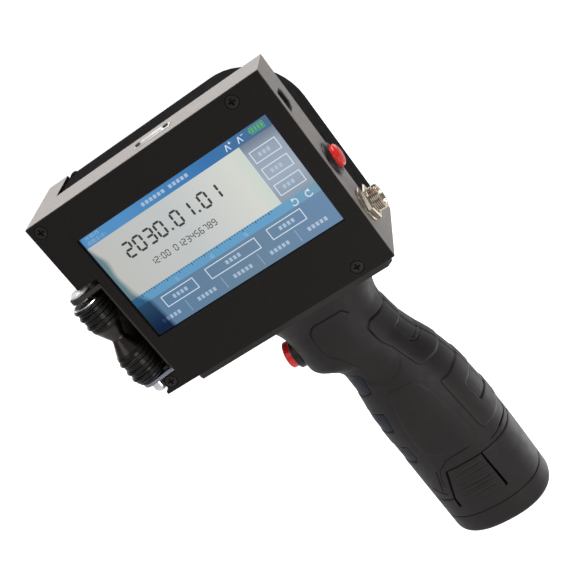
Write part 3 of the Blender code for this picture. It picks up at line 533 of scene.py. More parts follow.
SIGN_Y = 1.22                      # front of the lit fields
SIGN_THICK = 0.02
LIT_X = (15.2, 110.3)
LIT_Z = (25.2, 79.1)
HEADER_Z, RULER_Z, KEYS_Z = 74.1, 45.0, 40.7    # lower edges of the fields
COLUMN_X = 93.8
WIDE = [at(x, 0, 0).x for x in LIT_X]
TALL = [at(0, 0, z).z for z in (RULER_Z, HEADER_Z)]
# The dark reflection: x and z of a point on its edge, lean, half width of the edge.
VEIL = (17.0, 74.0, 0.09, 1.1)
VEIL_WAVE = 2.2
VEIL_RISE = [at(0, 0, z).z for z in (28, 48)]    # where its tint goes from dark to pale
VEIL_TINTS = ((0.04, 0.08, 0.16), (0.25, 0.42, 0.5))


def lit(name, stops, axis="X", ends=WIDE):
    """Lit screen colour along one axis, veiled by a dark reflection at the left."""
    s = Shader(name)
    x, z, lean, half = VEIL
    edge = at(x, 0, z)
    level = edge.x + lean * edge.z
    lines = s.combine("ShaderNodeVectorMath", "DOT_PRODUCT", s.where, (1, 0, lean))
    wave = s.remap(s.noise(55.0, 1.0), -VEIL_WAVE * MM, VEIL_WAVE * MM)
    bent = s.combine("ShaderNodeMath", "ADD", lines, wave)
    clear = s.remap(bent, 0.0, 1.0, level - half * MM, level + half * MM)
    ramp = s.node("ShaderNodeValToRGB", Fac=s.remap(s.place(axis), 0.0, 1.0, *ends))
    while len(ramp.color_ramp.elements) < len(stops):
        ramp.color_ramp.elements.new(0.5)
    for element, (position, colour) in zip(ramp.color_ramp.elements, stops):
        element.position = position
        element.color = (*rgb(*colour), 1.0)
    seen = ramp.outputs["Color"]
    rise = s.remap(s.place("Z"), 0.0, 1.0, *VEIL_RISE)
    veiled = s.blend(1.0, seen, s.blend(rise, *VEIL_TINTS), "MULTIPLY")
    s.set(Emission_Color=s.blend(clear, veiled, seen), Emission_Strength=1.0)
    s.set(Base_Color=(0.002, 0.002, 0.003, 1), Roughness=0.12, Specular_IOR_Level=0.04)
    return s.material


def flat(outline):
    """A thin raised shape on the screen."""
    return prism(outline, "y", SIGN_Y, SIGN_Y - SIGN_THICK)


def bar(x0, z0, x1, z1):
    """A filled rectangle on the screen."""
    return flat(((x0, z0), (x1, z0), (x1, z1), (x0, z1)))


def merge(parts):
    """Put several bmeshes together."""
    whole = bmesh.new()
    for part in parts:
        mesh = plain_mesh("part", part)
        whole.from_mesh(mesh)
        bpy.data.meshes.remove(mesh)
    return whole


def frame_line(x0, z0, x1, z1, line):
    """A rectangle drawn as a thin line."""
    low = [bar(x0, z0, x1, z0 + line), bar(x0, z1 - line, x1, z1)]
    return low + [bar(x0, z0 + line, x0 + line, z1 - line), bar(x1 - line, z0 + line, x1, z1 - line)]


SEGMENTS = {
    "0": "abcdef", "1": "bc", "2": "abged", "3": "abgcd", "4": "fgbc",
    "5": "afgcd", "6": "afgedc", "7": "abc", "8": "abcdefg", "9": "abcdfg",
}


def across(x, z, wide, line):
    """A level stroke with bevelled ends."""
    a, b, h = x + 0.12 * line, x + wide - 0.12 * line, line / 2
    upper = ((b - h, z + h), (a + h, z + h))
    return flat(((a, z), (a + h, z - h), (b - h, z - h), (b, z)) + upper)


def upright(x, low, high, line):
    """A standing stroke with bevelled ends."""
    a, b, h = low + 0.12 * line, high - 0.12 * line, line / 2
    left = ((x - h, b - h), (x - h, a + h))
    return flat(((x, a), (x + h, a + h), (x + h, b - h), (x, b)) + left)


def digit(char, x, z, wide, tall, line):
    """One numeral made of seven strokes, or a dot or colon."""
    if char == ".":
        return [bar(x, z, x + line, z + line)]
    if char == ":":
        return [bar(x, z + k * tall, x + line, z + k * tall + line) for k in (0.2, 0.65)]
    half = tall / 2
    strokes = {
        "a": (across, x, z + tall, wide), "g": (across, x, z + half, wide), "d": (across, x, z, wide),
        "b": (upright, x + wide, z + half, z + tall), "c": (upright, x + wide, z, z + half),
        "e": (upright, x, z, z + half), "f": (upright, x, z + half, z + tall),
    }
    parts = []
    for segment in SEGMENTS[char]:
        stroke, *place = strokes[segment]
        parts.append(stroke(*place, line))
    return parts


def number(text, x, z, tall, share=0.13):
    """A row of numerals from x rightwards; the stroke is a share of the height."""
    wide, line = tall * 0.52, tall * share
    parts = []
    for char in text:
        if char == " ":
            x += wide * 0.7
            continue
        parts += digit(char, x, z, wide, tall, line)
        x += (line if char in ".:" else wide) + tall * 0.3
    return parts


def curved_arrow(x, z, radius, turn):
    """A three-quarter ring with an arrow head, turning left or right."""
    start = 90 - 30 * -turn
    inner = arc((x, z), radius * 0.72, start, start - turn * 270, 20)
    outer = arc((x, z), radius, start, start - turn * 270, 20)
    parts = []
    for i in range(20):
        parts.append(flat((inner[i], outer[i], outer[i + 1], inner[i + 1])))
    tip = (Vector(inner[0]) + Vector(outer[0])) / 2
    along = Vector((turn, -0.15))
    side = Vector((-along.y, along.x))
    head = [tip + along * radius * 0.6, tip + side * radius * 0.5, tip - side * radius * 0.5]
    parts.append(flat([tuple(p) for p in head]))
    return parts


def label(x, z, count, wide, tall):
    """Short blocks in place of a word."""
    step = wide + tall * 0.4
    return [bar(x + i * step, z, x + i * step + wide, z + tall) for i in range(count)]


COLUMN_KEYS_Z = (64.3, 56.0, 47.6)
ROW_KEYS_X = ((26.4, 43.3), (49.7, 75.5), (81.4, 98.5))


def make_screen(m):
    """Glass with lit fields of colour, and raised generic signs on them."""
    low, high = node_box("display_glass")
    glass = bevelled(slab(low, high), 0.2)
    piece("screen_glass", glass, m["glass"], "housing", ("display_glass",))
    left, right = LIT_X
    bottom, top = LIT_Z
    fields = (
        ("screen_header", (left, HEADER_Z, right, top), "X", WIDE,
         ((0.2, (84, 143, 195)), (0.68, (58, 116, 173)), (1.0, (78, 108, 142)))),
        ("screen_preview", (left, RULER_Z, COLUMN_X, HEADER_Z), "X", WIDE,
         ((0.05, (190, 191, 187)), (0.4, (193, 197, 197)), (0.75, (212, 214, 207)), (0.82, (204, 214, 206)))),
        ("screen_column", (COLUMN_X, RULER_Z, right, HEADER_Z), "Z", TALL,
         ((0.0, (140, 155, 172)), (0.35, (160, 171, 187)), (0.8, (152, 164, 180)), (1.0, (114, 126, 142)))),
        ("screen_ruler", (left, KEYS_Z, right, RULER_Z), "X", WIDE,
         ((0.0, (99, 153, 192)), (0.75, (101, 160, 200)), (1.0, (119, 158, 178)))),
        ("screen_keys", (left, bottom, right, KEYS_Z), "X", WIDE,
         ((0.1, (93, 126, 156)), (0.55, (105, 131, 154)), (1.0, (107, 138, 170)))),
    )
    for name, (x0, z0, x1, z1), axis, ends, stops in fields:
        shape = prism(((x0, z0), (x1, z0), (x1, z1), (x0, z1)), "y", SIGN_Y + 0.08, SIGN_Y)
        piece(name, shape, lit(name + "_light", stops, axis, ends), "housing")
    draw_lines()
    draw_labels()
    draw_print()
    draw_header_signs()


def draw(name, shapes, left, right):
    """Signs in one piece, with their colours at the screen's left and right edge."""
    piece(name, merge(shapes), lit(name + "_light", ((0.0, left), (1.0, right))), "housing")


def draw_lines():
    """Key outlines and the two turning arrows."""
    lines = []
    for z in COLUMN_KEYS_Z:
        lines += frame_line(95.4, z, 108.0, z + 5.6, 0.4)
    for x0, x1 in ROW_KEYS_X:
        lines += frame_line(x0, 33.6, x1, 39.3, 0.4)
    lines += curved_arrow(98.3, 42.5, 1.7, 1)
    lines += curved_arrow(105.4, 42.5, 1.7, -1)
    draw("screen_frames", lines, (205, 221, 236), (214, 226, 238))


def draw_labels():
    """Faint labels: blocks in place of words, clock and ruler numbers."""
    labels = []
    for z in COLUMN_KEYS_Z:
        labels += label(98.4, z + 1.9, 3, 1.3, 1.8)
    for x0, x1 in ROW_KEYS_X:
        labels += label((x0 + x1) / 2 - 3.6, 35.6, 4, 1.3, 1.8)
    for index in range(5):
        centre = 24.8 + 18.9 * index
        labels += label(centre - 4.6, 28.6, 5, 1.3, 1.8)
        if index:
            labels.append(bar(centre - 9.5, 26.6, centre - 9.3, 32.4))
    labels += number("14:30:25", 17.2, 77.3, 1.3)
    labels += number("2030.01.01", 17.2, 75.0, 1.3)
    labels += label(46.4, 75.9, 6, 1.4, 1.6)
    labels += label(60.4, 75.9, 5, 1.4, 1.6)
    for step, value in enumerate(("0", "5", "10", "15")):
        labels += number(value, 20.0 + 17.4 * step, 41.4, 1.5)
    draw("screen_labels", labels, (160, 184, 208), (176, 194, 214))


def draw_print():
    """Ruler ticks and the sample date code on the preview."""
    marks = []
    for tick in range(52):
        x = 20.6 + tick * 1.32
        marks.append(bar(x, 44.3 if tick % 5 else 43.7, x + 0.35, 44.95))
    marks += number("2030.01.01", 28.0, 60.7, 6.7, 0.15)
    marks += number("12:00  0123456789", 33.6, 52.6, 2.7, 0.15)
    draw("screen_print", marks, (58, 60, 62), (66, 68, 70))


def draw_header_signs():
    """Battery level and two zoom signs at the right of the header."""
    cells = frame_line(101.2, 75.3, 107.8, 78.3, 0.3) + [bar(100.7, 76.2, 101.2, 77.4)]
    cells += [bar(101.9 + 1.45 * i, 75.9, 102.9 + 1.45 * i, 77.7) for i in range(4)]
    draw("screen_battery_sign", cells, (52, 140, 78), (96, 178, 110))
    signs = [bar(91.5, 77.2, 91.9, 78.4)]
    for x in (88.6, 94.6):
        rising = ((x, 75.2), (x + 0.5, 75.2), (x + 1.5, 77.9), (x + 1.0, 77.9))
        falling = ((x + 1.0, 77.9), (x + 1.5, 77.9), (x + 2.5, 75.2), (x + 2.0, 75.2))
        signs += [flat(rising), flat(falling), bar(x + 2.5, 77.6, x + 3.7, 77.9)]
    draw("screen_zoom_signs", signs, (200, 216, 232), (214, 226, 238))


# ----------------------------------------------------------- rear end parts

def rounded(points, steps=5):
    """A smooth run through points, as a Catmull-Rom curve."""
    spots = [Vector(point) for point in points]
    spots = [2 * spots[0] - spots[1], *spots, 2 * spots[-1] - spots[-2]]
    run = [tuple(spots[1])]
    for before, start, stop, after in zip(spots, spots[1:], spots[2:], spots[3:]):
        for step in range(1, steps + 1):
            t = step / steps
            bend = (-t + 2 * t**2 - t**3) * before + (2 - 5 * t**2 + 3 * t**3) * start
            bend += (t + 4 * t**2 - 3 * t**3) * stop + (t**3 - t**2) * after
            run.append((bend.x / 2, bend.y / 2))
    return run


def make_power_button(m):
    """Dark bezel, domed red cap and the nut inside."""
    spot = node_centre("power_button_cap")
    base = (BOX_W, spot.y, spot.z)
    bezel = [(0, -8.5), (5.3, -8.5), (5.3, 1.6)]
    bezel += rounded(((5.4, 1.85), (5.9, 2.1), (6.6, 1.8), (7.2, 1.15), (7.5, 0.55), (7.6, 0.2)))
    bezel += [(5.8, 0.2), (5.8, -12.5), (0, -12.5)]
    body = lathe(bezel, base, OUT, 72)
    piece("power_bezel", body, m["bezel"], "housing", ("power_button_bezel",), 50)
    cap = [(0, -6.0), (5.0, -6.0), (5.0, 3.1)] + dome(5.0, 3.3, 1.8, 12)
    piece("power_cap", lathe(cap, base, OUT, 72), m["red"], "power_button", ("power_button_cap",), 60)
    refined("power_button_nut", m["steel"], 0.2)


def make_connector(m):
    """Threaded power connector with a flange, a nut, a key notch and pins."""
    centre = node_centre("connector_body")
    base = (BOX_W, centre.y, centre.z)
    thread_r, root_r, pitch = 5.6, 5.2, 0.8
    profile = [(0, 0.5), (4.55, 0.5), (4.55, 7.5)] + rounded(((4.7, 7.85), (4.95, 8.0), (5.2, 8.0)), 3)
    for turn in reversed(range(5)):
        low = 3.9 + turn * pitch
        profile += [(root_r, low + 0.72), (thread_r, low + 0.45), (thread_r, low + 0.2), (root_r, low)]
    profile += [(root_r, 3.2), (5.6, 3.0), (5.6, 1.35), (7.4, 1.3), (7.7, 1.0), (7.7, 0.2), (6.0, 0.2)]
    profile += [(6.0, -8.0), (0, -8.0)]
    body = lathe(profile, base, OUT, 72)
    shell = piece("plug_body", body, m["nickel"], "housing", ("connector_body",), 30, (m["slot"],))
    notch = slab((BOX_W + 6.2, centre.y - 0.9, centre.z + 3), (BOX_W + 12, centre.y + 0.9, centre.z + 8))
    # the key notch's cut faces take the near-black recess colour: painted shade
    carve(shell, [notch], 1)
    hexagon = ((5.9, 1.6), (8.1, 1.6), (8.1, 3.2), (7.5, 3.7), (5.9, 3.7))
    nut = bevelled(lathe(hexagon, base, OUT, 6), 0.2, 2, 20)
    piece("plug_nut", nut, m["nickel"], "housing", ("connector_nut",), 30)
    insert = refined("connector_insert", m["insert"], 0.1, 1, (m["gold"],))
    recolour(insert, 1, lambda spot, normal: spot.x > BOX_W + 3.45)


# ------------------------------------------------------------------ roller

ROLLER_WAIST = 33.9                # height of the waist, the roller's origin


def spool_half(reach, rim, floor, offsets, half_groove):
    """One end of the spool to its waist: bright edge, ring grooves, then the cone."""
    side = [(1.8, reach), (rim - 1.1, reach), (rim - 0.35, reach - 0.12), (rim, reach - 0.5)]
    for offset in offsets:
        start, stop = offset + half_groove, offset - half_groove
        if start < reach - 0.6:
            side += [(rim, start), (rim - 0.1, start - 0.06)]
        side += [(floor, min(start, reach - 0.6) - 0.1), (floor, stop + 0.1)]
        side += [(rim - 0.1, stop + 0.06), (rim, stop)]
    side += rounded(((rim, 8.7), (rim - 0.08, 8.2), (rim - 0.3, 7.6), (rim - 0.7, 7.0)), 3)
    return side + [(5.45, 4.85), (4.5, 2.8), (3.85, 1.45), (3.5, 0.7), (3.4, 0.35)]


def make_roller(m):
    """Spool, six rubber rings, encoder disc, axle and bright cap nuts."""
    low, high = node_box("roller_spool")
    centre = (low + high) / 2
    foot = (centre.x, centre.y, 0)
    ring_low, ring_high = node_box("roller_ring_1")
    ring_r = (ring_high.z - ring_low.z) / 2 + 0.05
    reach = (ring_high.x - ring_low.x) / 2
    heights = [node_centre(f"roller_ring_{i}").z - ROLLER_WAIST for i in (6, 5, 4)]
    sizes = ((high.x - low.x) / 2, reach - 2 * ring_r - 0.2, heights, ring_r + 0.25)
    below = [(radius, ROLLER_WAIST - h) for radius, h in spool_half(ROLLER_WAIST - low.z, *sizes)]
    above = [(radius, ROLLER_WAIST + h) for radius, h in spool_half(high.z - ROLLER_WAIST, *sizes)]
    shape = lathe(below + above[::-1], foot, UP, 96)
    more = (m["cone"], m["steel"])
    spool = piece("roller_body", shape, m["rubber"], "roller", ("roller_spool",), 30, more)
    recolour(spool, 1, lambda spot, normal: abs(spot.z - ROLLER_WAIST) < 6.8)
    rim = (high.x - low.x) / 2 - 1.0
    recolour(spool, 2, lambda spot, normal: spot.z > high.z - 0.51 and (spot - centre).xy.length > rim)
    for index in range(1, 7):
        level = node_centre(f"roller_ring_{index}").z
        section = arc((reach - ring_r, level), ring_r, 0, 345, 23)
        name = f"roller_band_{index}"
        piece(name, lathe(section, foot, UP, 96), m["rubber"], "roller", (f"roller_ring_{index}",), 60)
    refined("encoder_disc", m["ink"], 0.1, 1)
    make_axle(m, foot)


def make_axle(m, foot):
    """Fixed axle with its collar, and a domed nut at each end."""
    low, high = node_box("roller_axle")
    collar = [(2.2, 55.55), (2.4, 55.75), (2.4, 56.7), (2.2, 56.9)]
    shaft = [(0, low.z), (1.3, low.z), (1.5, low.z + 0.2), (1.5, 55.55)] + collar
    shaft += [(1.5, 56.9), (1.5, high.z), (0, high.z)]
    piece("roller_shaft", lathe(shaft, foot, UP, 64), m["chrome"], "housing", ("roller_axle",), 40)
    bottom, top, radius = span("roller_cap_nut_top")
    nut = [(0, 60.6), (1.8, 60.6), (1.8, bottom), (radius - 0.1, bottom), (radius, bottom + 0.1)]
    nut += dome(radius, bottom + 0.55, top - bottom - 0.55, 12)
    # the top nut's near-white colour is a painted reflection standing in for the chrome's glare
    piece("roller_cap_top", lathe(nut, foot, UP, 72), m["cap"], "housing", ("roller_cap_nut_top",), 50)
    bottom, top, radius = span("roller_cap_nut_bottom")
    shoulder = bottom + 2.7
    nut = [(0, 4.9), (1.8, 4.9), (1.8, top), (radius, top)]
    nut += [(r, shoulder - h) for r, h in dome(radius, 0, shoulder - bottom, 9)]
    piece("roller_cap_low", lathe(nut, foot, UP, 56), m["chrome"], "housing", ("roller_cap_nut_bottom",), 50)


# -------------------------------------------------------------------- grip

# Stations down the handle: z, front edge x, rear edge x, half width in y.
STATIONS = np.array((
    (-3.5, 41.0, 104.5, 20.4),
    (-6.0, 46.0, 102.6, 19.8),
    (-10.0, 49.3, 100.6, 19.3),
    (-15.0, 50.9, 98.4, 19.0),
    (-20.0, 51.4, 97.2, 19.0),
    (-24.0, 51.5, 97.0, 19.0),
    (-28.0, 51.4, 97.4, 19.0),
    (-33.0, 51.6, 98.2, 18.9),
    (-35.0, 52.8, 98.6, 18.9),
    (-37.0, 56.4, 99.1, 18.8),
    (-40.0, 60.8, 99.9, 18.7),
    (-45.0, 62.3, 101.6, 18.7),
    (-52.0, 62.3, 104.7, 19.0),
    (-61.0, 61.5, 107.6, 19.7),
    (-72.0, 60.0, 109.6, 20.3),
    (-86.0, 60.0, 111.0, 20.7),
    (-98.0, 60.2, 111.6, 20.9),
    (-120.0, 60.3, 112.0, 21.0),
    (-147.2, 60.5, 111.9, 21.0),
))
SECTION_POWER = 2.35               # roundness of the handle's section
MM_PER_DEG = 0.40                  # surface millimetres to a degree round the handle
SEAM_Z, SKIRT_Z = -105.9, -122.1   # lower edge of the handle at the rear and in front
PAD_TOP_X, PAD_LOW_X = 76.6, 71.1  # where that edge starts and ends its slope
CAP_SEAM_Z = -134.2                # top of the battery's foot
CAP_FILLET = 4.5
GRIP_WALL, CASE_WALL = 1.9, 2.0


def station(z):
    """Front edge, rear edge and half width at heights z, smoothed between stations."""
    levels = -STATIONS[:, 0]
    depth = np.clip(-np.asarray(z, float), levels[0], levels[-1])
    spans = np.diff(levels)
    index = np.clip(np.searchsorted(levels, depth, side="right") - 1, 0, len(spans) - 1)
    t = (depth - levels[index]) / spans[index]
    out = []
    for values in STATIONS[:, 1:].T:
        slopes = np.diff(values) / spans
        same = slopes[:-1] * slopes[1:] > 0
        before = (2 * spans[1:] + spans[:-1]) / np.where(same, slopes[:-1], 1)
        after = (spans[1:] + 2 * spans[:-1]) / np.where(same, slopes[1:], 1)
        middle = np.where(same, 3 * (spans[:-1] + spans[1:]) / (before + after), 0)
        tangents = np.concatenate((slopes[:1], middle, slopes[-1:]))
        lead, trail = tangents[index] * spans[index], tangents[index + 1] * spans[index]
        curve = (2 * t**3 - 3 * t**2 + 1) * values[index] + (3 * t**2 - 2 * t**3) * values[index + 1]
        out.append(curve + (t**3 - 2 * t**2 + t) * lead + (t**3 - t**2) * trail)
    return out


def handle_points(degrees, z, lift=0.0):
    """Points on the handle at angles (0 rear, -90 screen side, 180 finger side), raised by lift."""
    front, rear, half = station(z)
    angle = np.radians(degrees)
    c, s = np.cos(angle), np.sin(angle)
    power = 2 / SECTION_POWER
    a = (rear - front) / 2 + lift
    b = half + lift
    x = (front + rear) / 2 + a * np.sign(c) * np.abs(c) ** power
    y = MID_Y + b * np.sign(s) * np.abs(s) ** power
    return np.stack((x, y, np.broadcast_to(z, x.shape)), -1)


def even_degrees(start, stop, count):
    """Angles that give nearly even steps along the section."""
    fine = np.linspace(start, stop, 4001)
    spots = handle_points(fine, -80.0)
    run = np.concatenate(([0], np.cumsum(np.linalg.norm(np.diff(spots, axis=0), axis=1))))
    return np.interp(np.linspace(0, run[-1], count), run, fine)


def outline_distance(u, z, outline, closed=True, corner=0.0):
    """Signed distance (inside negative) to an outline in millimetres of surface."""
    points = np.array(outline, float) * (MM_PER_DEG, 1)
    ends = np.roll(points, -1, axis=0) if closed else points[1:]
    best = np.full(u.shape, 1e9)
    inner = np.zeros(u.shape, bool)
    for (ax, az), (bx, bz) in zip(points, ends):
        dx, dz = bx - ax, bz - az
        t = np.clip(((u - ax) * dx + (z - az) * dz) / (dx * dx + dz * dz), 0, 1)
        best = np.minimum(best, np.hypot(u - ax - t * dx, z - az - t * dz))
        if abs(dz) > 1e-9:
            crosses = (az > z) != (bz > z)
            inner ^= crosses & (u < ax + dx * (z - az) / dz)
    return np.where(inner & closed, -best, best) - corner


# Fields of the overmoulding on one half, as (degrees, z) outlines.
BACK_UPPER = (
    (4, -26.2), (-16, -25.3), (-48, -24.1), (-55, -26), (-56, -40), (-57, -51.6), (-54, -53.7),
    (-27, -54.9), (4, -55.1),
)
BACK_UPPER_KEY = ((4, -36.3), (-25, -35.4), (-27.5, -36.4), (-26.5, -43.3), (4, -44.5))
BACK_LOWER = (
    (4, -66.5), (-22, -65.8), (-40, -66.6), (-53, -65.8), (-54, -69), (-54, -82), (-53, -93.9),
    (-50, -96.3), (-33, -96.6), (4, -95.8),
)
BACK_LOWER_KEY = ((4, -76.5), (-5, -75.9), (-28, -75.7), (-30, -76.9), (-29, -85.6), (-16, -85.5), (4, -86))
SIDE_LOWER = (
    (-102, -57.3), (-91, -57.6), (-81, -58), (-75, -60.2), (-69, -69), (-64, -94), (-68, -98.4),
    (-76, -99), (-85, -98.4), (-96, -97), (-108, -94.9), (-113, -92.9), (-115, -87), (-114, -81.5),
    (-110, -70), (-107, -61),
)
FINGER_PADS = (
    ((-184, -41), (-134, -42.3), (-120, -43.3), (-118, -46.4), (-124, -53.4), (-140, -55), (-184, -55.4)),
    ((-184, -65.8), (-149, -66.4), (-128, -66.5), (-127, -70), (-130, -76.2), (-145, -76.8), (-184, -77.2)),
    ((-184, -86.2), (-140, -87.1), (-130, -87.3), (-129, -94), (-133, -96.2), (-184, -97.2)),
)
THUMB = (82.0, -41.5, 10.0)

# Open mould lines, grooved and darkened with painted shade: strength, half width, then (degrees, z) points.
MOULD_LINES = (
    (0.7, 0.3, ((4, -25.7), (-16, -24.8), (-48, -23.6), (-56, -25.8), (-57.2, -33))),
    (0.9, 0.32, ((-34, -43.3), (-28, -45.6), (4, -46.9))),
    (0.9, 0.3, ((-66, -14.1), (-73, -11.1), (-96, -10.5), (-100, -10.9), (-106, -13), (-108, -15.7))),
    (0.4, 0.3, ((-108, -15.7), (-109, -22.2), (-106, -26.6), (-98, -30.4), (-95, -34.6), (-101, -39.1))),
    (1.0, 0.42, ((9, -101.9), (-1, -102.8), (-20, -102.2), (-33, -102.6))),
    (0.6, 0.32, ((-33, -102.6), (-45, -103.3), (-53, -103.5))),
    (0.55, 0.30, ((-79, -99.8), (-86, -99.7), (-94, -100), (-101, -100.7), (-105, -102.3), (-111, -103.8),
                 (-117, -108.4), (-120, -113.6))),
    (0.8, 0.32, ((-117, -104.2), (-121, -109.3), (-128, -116.5))),
    (0.8, 0.32, ((-140, -114.4), (-134, -117.1), (-125, -118.7))),
)


def bell(value, width):
    """1 at 0, and fading to nothing over about two widths."""
    return np.exp(-((value / width) ** 2))


def inward(away, soft):
    """1 well inside an outline, 0 well outside."""
    return 1 / (1 + np.exp(np.clip(away / soft, -30, 30)))


# Fields: outline, lift, painted shade and width of the edge line, painted highlight just inside the edge.
FIELDS = (
    (BACK_UPPER, 0.5, 0.4, 0.3, 0.5),
    (BACK_UPPER_KEY, -0.45, 0.7, 0.3, 0.5),
    (BACK_LOWER, 0.5, 0.45, 0.3, 0.5),
    (BACK_LOWER_KEY, -0.45, 0.75, 0.32, 0.5),
    (SIDE_LOWER, 0.22, 0.14, 0.5, 0.15),
    *((pad, -0.3, 0.8, 0.34, 0.0) for pad in FINGER_PADS),
)
FIELD_CORNER = 0.5
LINE_DEPTH = 0.4


def relief(degrees, z):
    """Height of the overmoulding in millimetres, and the painted shading of its lines: painted shade above 0,
    painted highlight below 0.
    """
    u = degrees * MM_PER_DEG
    height = np.zeros(u.shape)
    painted_shading = np.zeros(u.shape)
    painted_highlight = np.zeros(u.shape)
    for outline, lift, strength, width, crest in FIELDS:
        away = outline_distance(u, z, outline, True, FIELD_CORNER)
        line = strength * bell(away, width)
        height += lift * inward(away, 0.2) - LINE_DEPTH * line
        # painted shade along each field's edge line
        painted_shading = np.maximum(painted_shading, line)
        # painted highlight just inside each field's edge
        painted_highlight = np.maximum(painted_highlight, crest * bell(away + 0.7, 0.35))
    for strength, width, points in MOULD_LINES:
        line = strength * bell(outline_distance(u, z, points, False), width)
        height -= LINE_DEPTH * line
        # painted shade along the mould lines
        painted_shading = np.maximum(painted_shading, line)
    return height + thumb_dent(degrees, z), painted_shading - painted_highlight * (1 - painted_shading)


def thumb_dent(degrees, z):
    """Shallow round dent for the thumb, with a firmer lower edge."""
    spots = handle_points(degrees, z)
    x, level, radius = THUMB
    away = np.hypot(spots[..., 0] - x, z - level) - radius
    near = np.cos(np.radians(degrees + 90)) > 0.2
    below = np.clip((level - z) / radius, 0, 1)
    edge = bell(away, 0.5) * below
    return near * (-0.5 * inward(away, 1.6 - 1.1 * below) - 0.16 * edge)


def seam_height(degrees):
    """Lower edge of the handle at each angle: high at the rear, a skirt in front."""
    x = handle_points(degrees, -110.0)[..., 0]
    slope = SKIRT_Z + (x - PAD_LOW_X) * (SEAM_Z - SKIRT_Z) / (PAD_TOP_X - PAD_LOW_X)
    edge = np.clip(slope, SKIRT_Z, SEAM_Z)
    return edge - 0.3 * np.clip((PAD_LOW_X - x) / 10, 0, 1)


WALL_STRIDE = 5                    # fine steps of the outer sheet to one of the inner
SPARSE = (slice(None, None, WALL_STRIDE),) * 2
GRIP_COLUMNS, GRIP_ROWS = 201, (211, 50)       # rows above and below SKIRT_START_Z
CASE_COLUMNS, CASE_ROWS = 320, 71
LATCH_COLUMNS, LATCH_ROWS = 101, 141
SKIRT_START_Z = -98.0
EDGE_DROP = 0.3                    # how far the edges of the shells are rounded off
SEAM_GAP = 0.02                    # between the two halves of the grip


def rim_faces(fine, coarse):
    """Faces that join a fine border to a coarse one."""
    faces = []
    for index, (first, second) in enumerate(zip(coarse, coarse[1:])):
        start = index * WALL_STRIDE
        faces.append([first, *fine[start:start + WALL_STRIDE + 1], second])
    return faces


def shell_mesh(name, outer, inner, painted_shading, wrap):
    """A closed wall: a fine outer sheet, a coarse inner one and the rims between.

    The sheets are grids of points in box millimetres; `wrap` joins their
    first and last columns, and the lines' painted shading (shade above 0, highlight below) is kept as a mesh
    attribute.
    """
    spots = np.concatenate([sheet.reshape(-1, 3) for sheet in (outer, inner)])
    grids = [np.arange(outer[..., 0].size).reshape(outer.shape[:2])]
    grids.append(outer[..., 0].size + np.arange(inner[..., 0].size).reshape(inner.shape[:2]))
    if wrap:
        grids = [np.concatenate((grid, grid[:, :1]), 1) for grid in grids]
    faces = []
    for grid in grids:
        quads = (grid[:-1, :-1], grid[:-1, 1:], grid[1:, 1:], grid[1:, :-1])
        faces += np.stack(quads, -1).reshape(-1, 4).tolist()
    fine, coarse = (grid.tolist() for grid in grids)
    faces += rim_faces(fine[0], coarse[0]) + rim_faces(fine[-1], coarse[-1])
    if not wrap:
        for column in (0, -1):
            faces += rim_faces([row[column] for row in fine], [row[column] for row in coarse])
    mesh = bpy.data.meshes.new(name)
    mesh.from_pydata((np.array(PANEL_LOW) + spots * MM).tolist(), [], faces)
    # painted shade and painted highlight of the lines, kept for the material
    shade = np.zeros(len(spots))
    shade[:painted_shading.size] = painted_shading.ravel()
    mesh.attributes.new("painted_crease_shading", "FLOAT", "POINT").data.foreach_set("value", shade)
    bm = bmesh.new()
    bm.from_mesh(mesh)
    bmesh.ops.recalc_face_normals(bm, faces=bm.faces)
    bm.to_mesh(mesh)
    bm.free()
    return mesh


def grip_half(m, name, sign, node):
    """One half of the handle with its overmoulding."""
    half_gap = SEAM_GAP / 2 / MM_PER_DEG
    degrees = even_degrees(-180 + half_gap, -half_gap, GRIP_COLUMNS)
    upper = np.linspace(STATIONS[0, 0], SKIRT_START_Z, GRIP_ROWS[0])
    bottom = seam_height(degrees)
    shares = np.linspace(0, 1, GRIP_ROWS[1] + 1)[1:, None]
    lower = SKIRT_START_Z + (bottom - SKIRT_START_Z) * shares
    z = np.concatenate((np.repeat(upper[:, None], GRIP_COLUMNS, 1), lower))
    angles = np.broadcast_to(degrees, z.shape)
    lift, painted_shading = relief(angles, z)
    edge = np.minimum(np.abs(angles + 180), np.abs(angles)) * MM_PER_DEG
    lift = lift - EDGE_DROP * (bell(edge, 0.3) + bell(z - bottom, 0.3))
    sheets = handle_points(angles, z, lift), handle_points(angles[SPARSE], z[SPARSE], -GRIP_WALL)
    if sign > 0:
        for sheet in sheets:
            sheet[..., 1] = 2 * MID_Y - sheet[..., 1]
    mesh = shell_mesh(name, *sheets, painted_shading, False)
    obj = dress(name, mesh, m["grip"], "housing", (node,), 50.0, (m["pad"],))
    paint_pads(obj, angles, z)
    opening = ((0, -14), (7.5, -14), (7.5, -2.1), (8.2, -2.1), (8.2, 20), (0, 20))
    cutters = [lathe(opening, TRIGGER, TRIGGER_OUT, 72)]
    if sign > 0:
        for index in (1, 2):
            spot = node_centre(f"grip_screw_{index}")
            hole = ((0, 39.6), (2.9, 39.6), (2.9, 50), (0, 50))
            cutters.append(lathe(hole, (spot.x, 0, spot.z), (0, 1, 0), 40))
    return carve(obj, cutters)


def paint_pads(obj, angles, z):
    """Give the outer faces inside the finger pads the smoother pad material."""
    u = angles * MM_PER_DEG
    inner = np.zeros(z.shape, bool)
    for pad in FINGER_PADS:
        inner |= outline_distance(u, z, pad, True, FIELD_CORNER) < 0.0
    cell = inner[:-1, :-1] & inner[1:, 1:]
    index = np.zeros(len(obj.data.polygons), np.int32)
    index[:cell.size] = cell.ravel()
    obj.data.polygons.foreach_set("material_index", index)


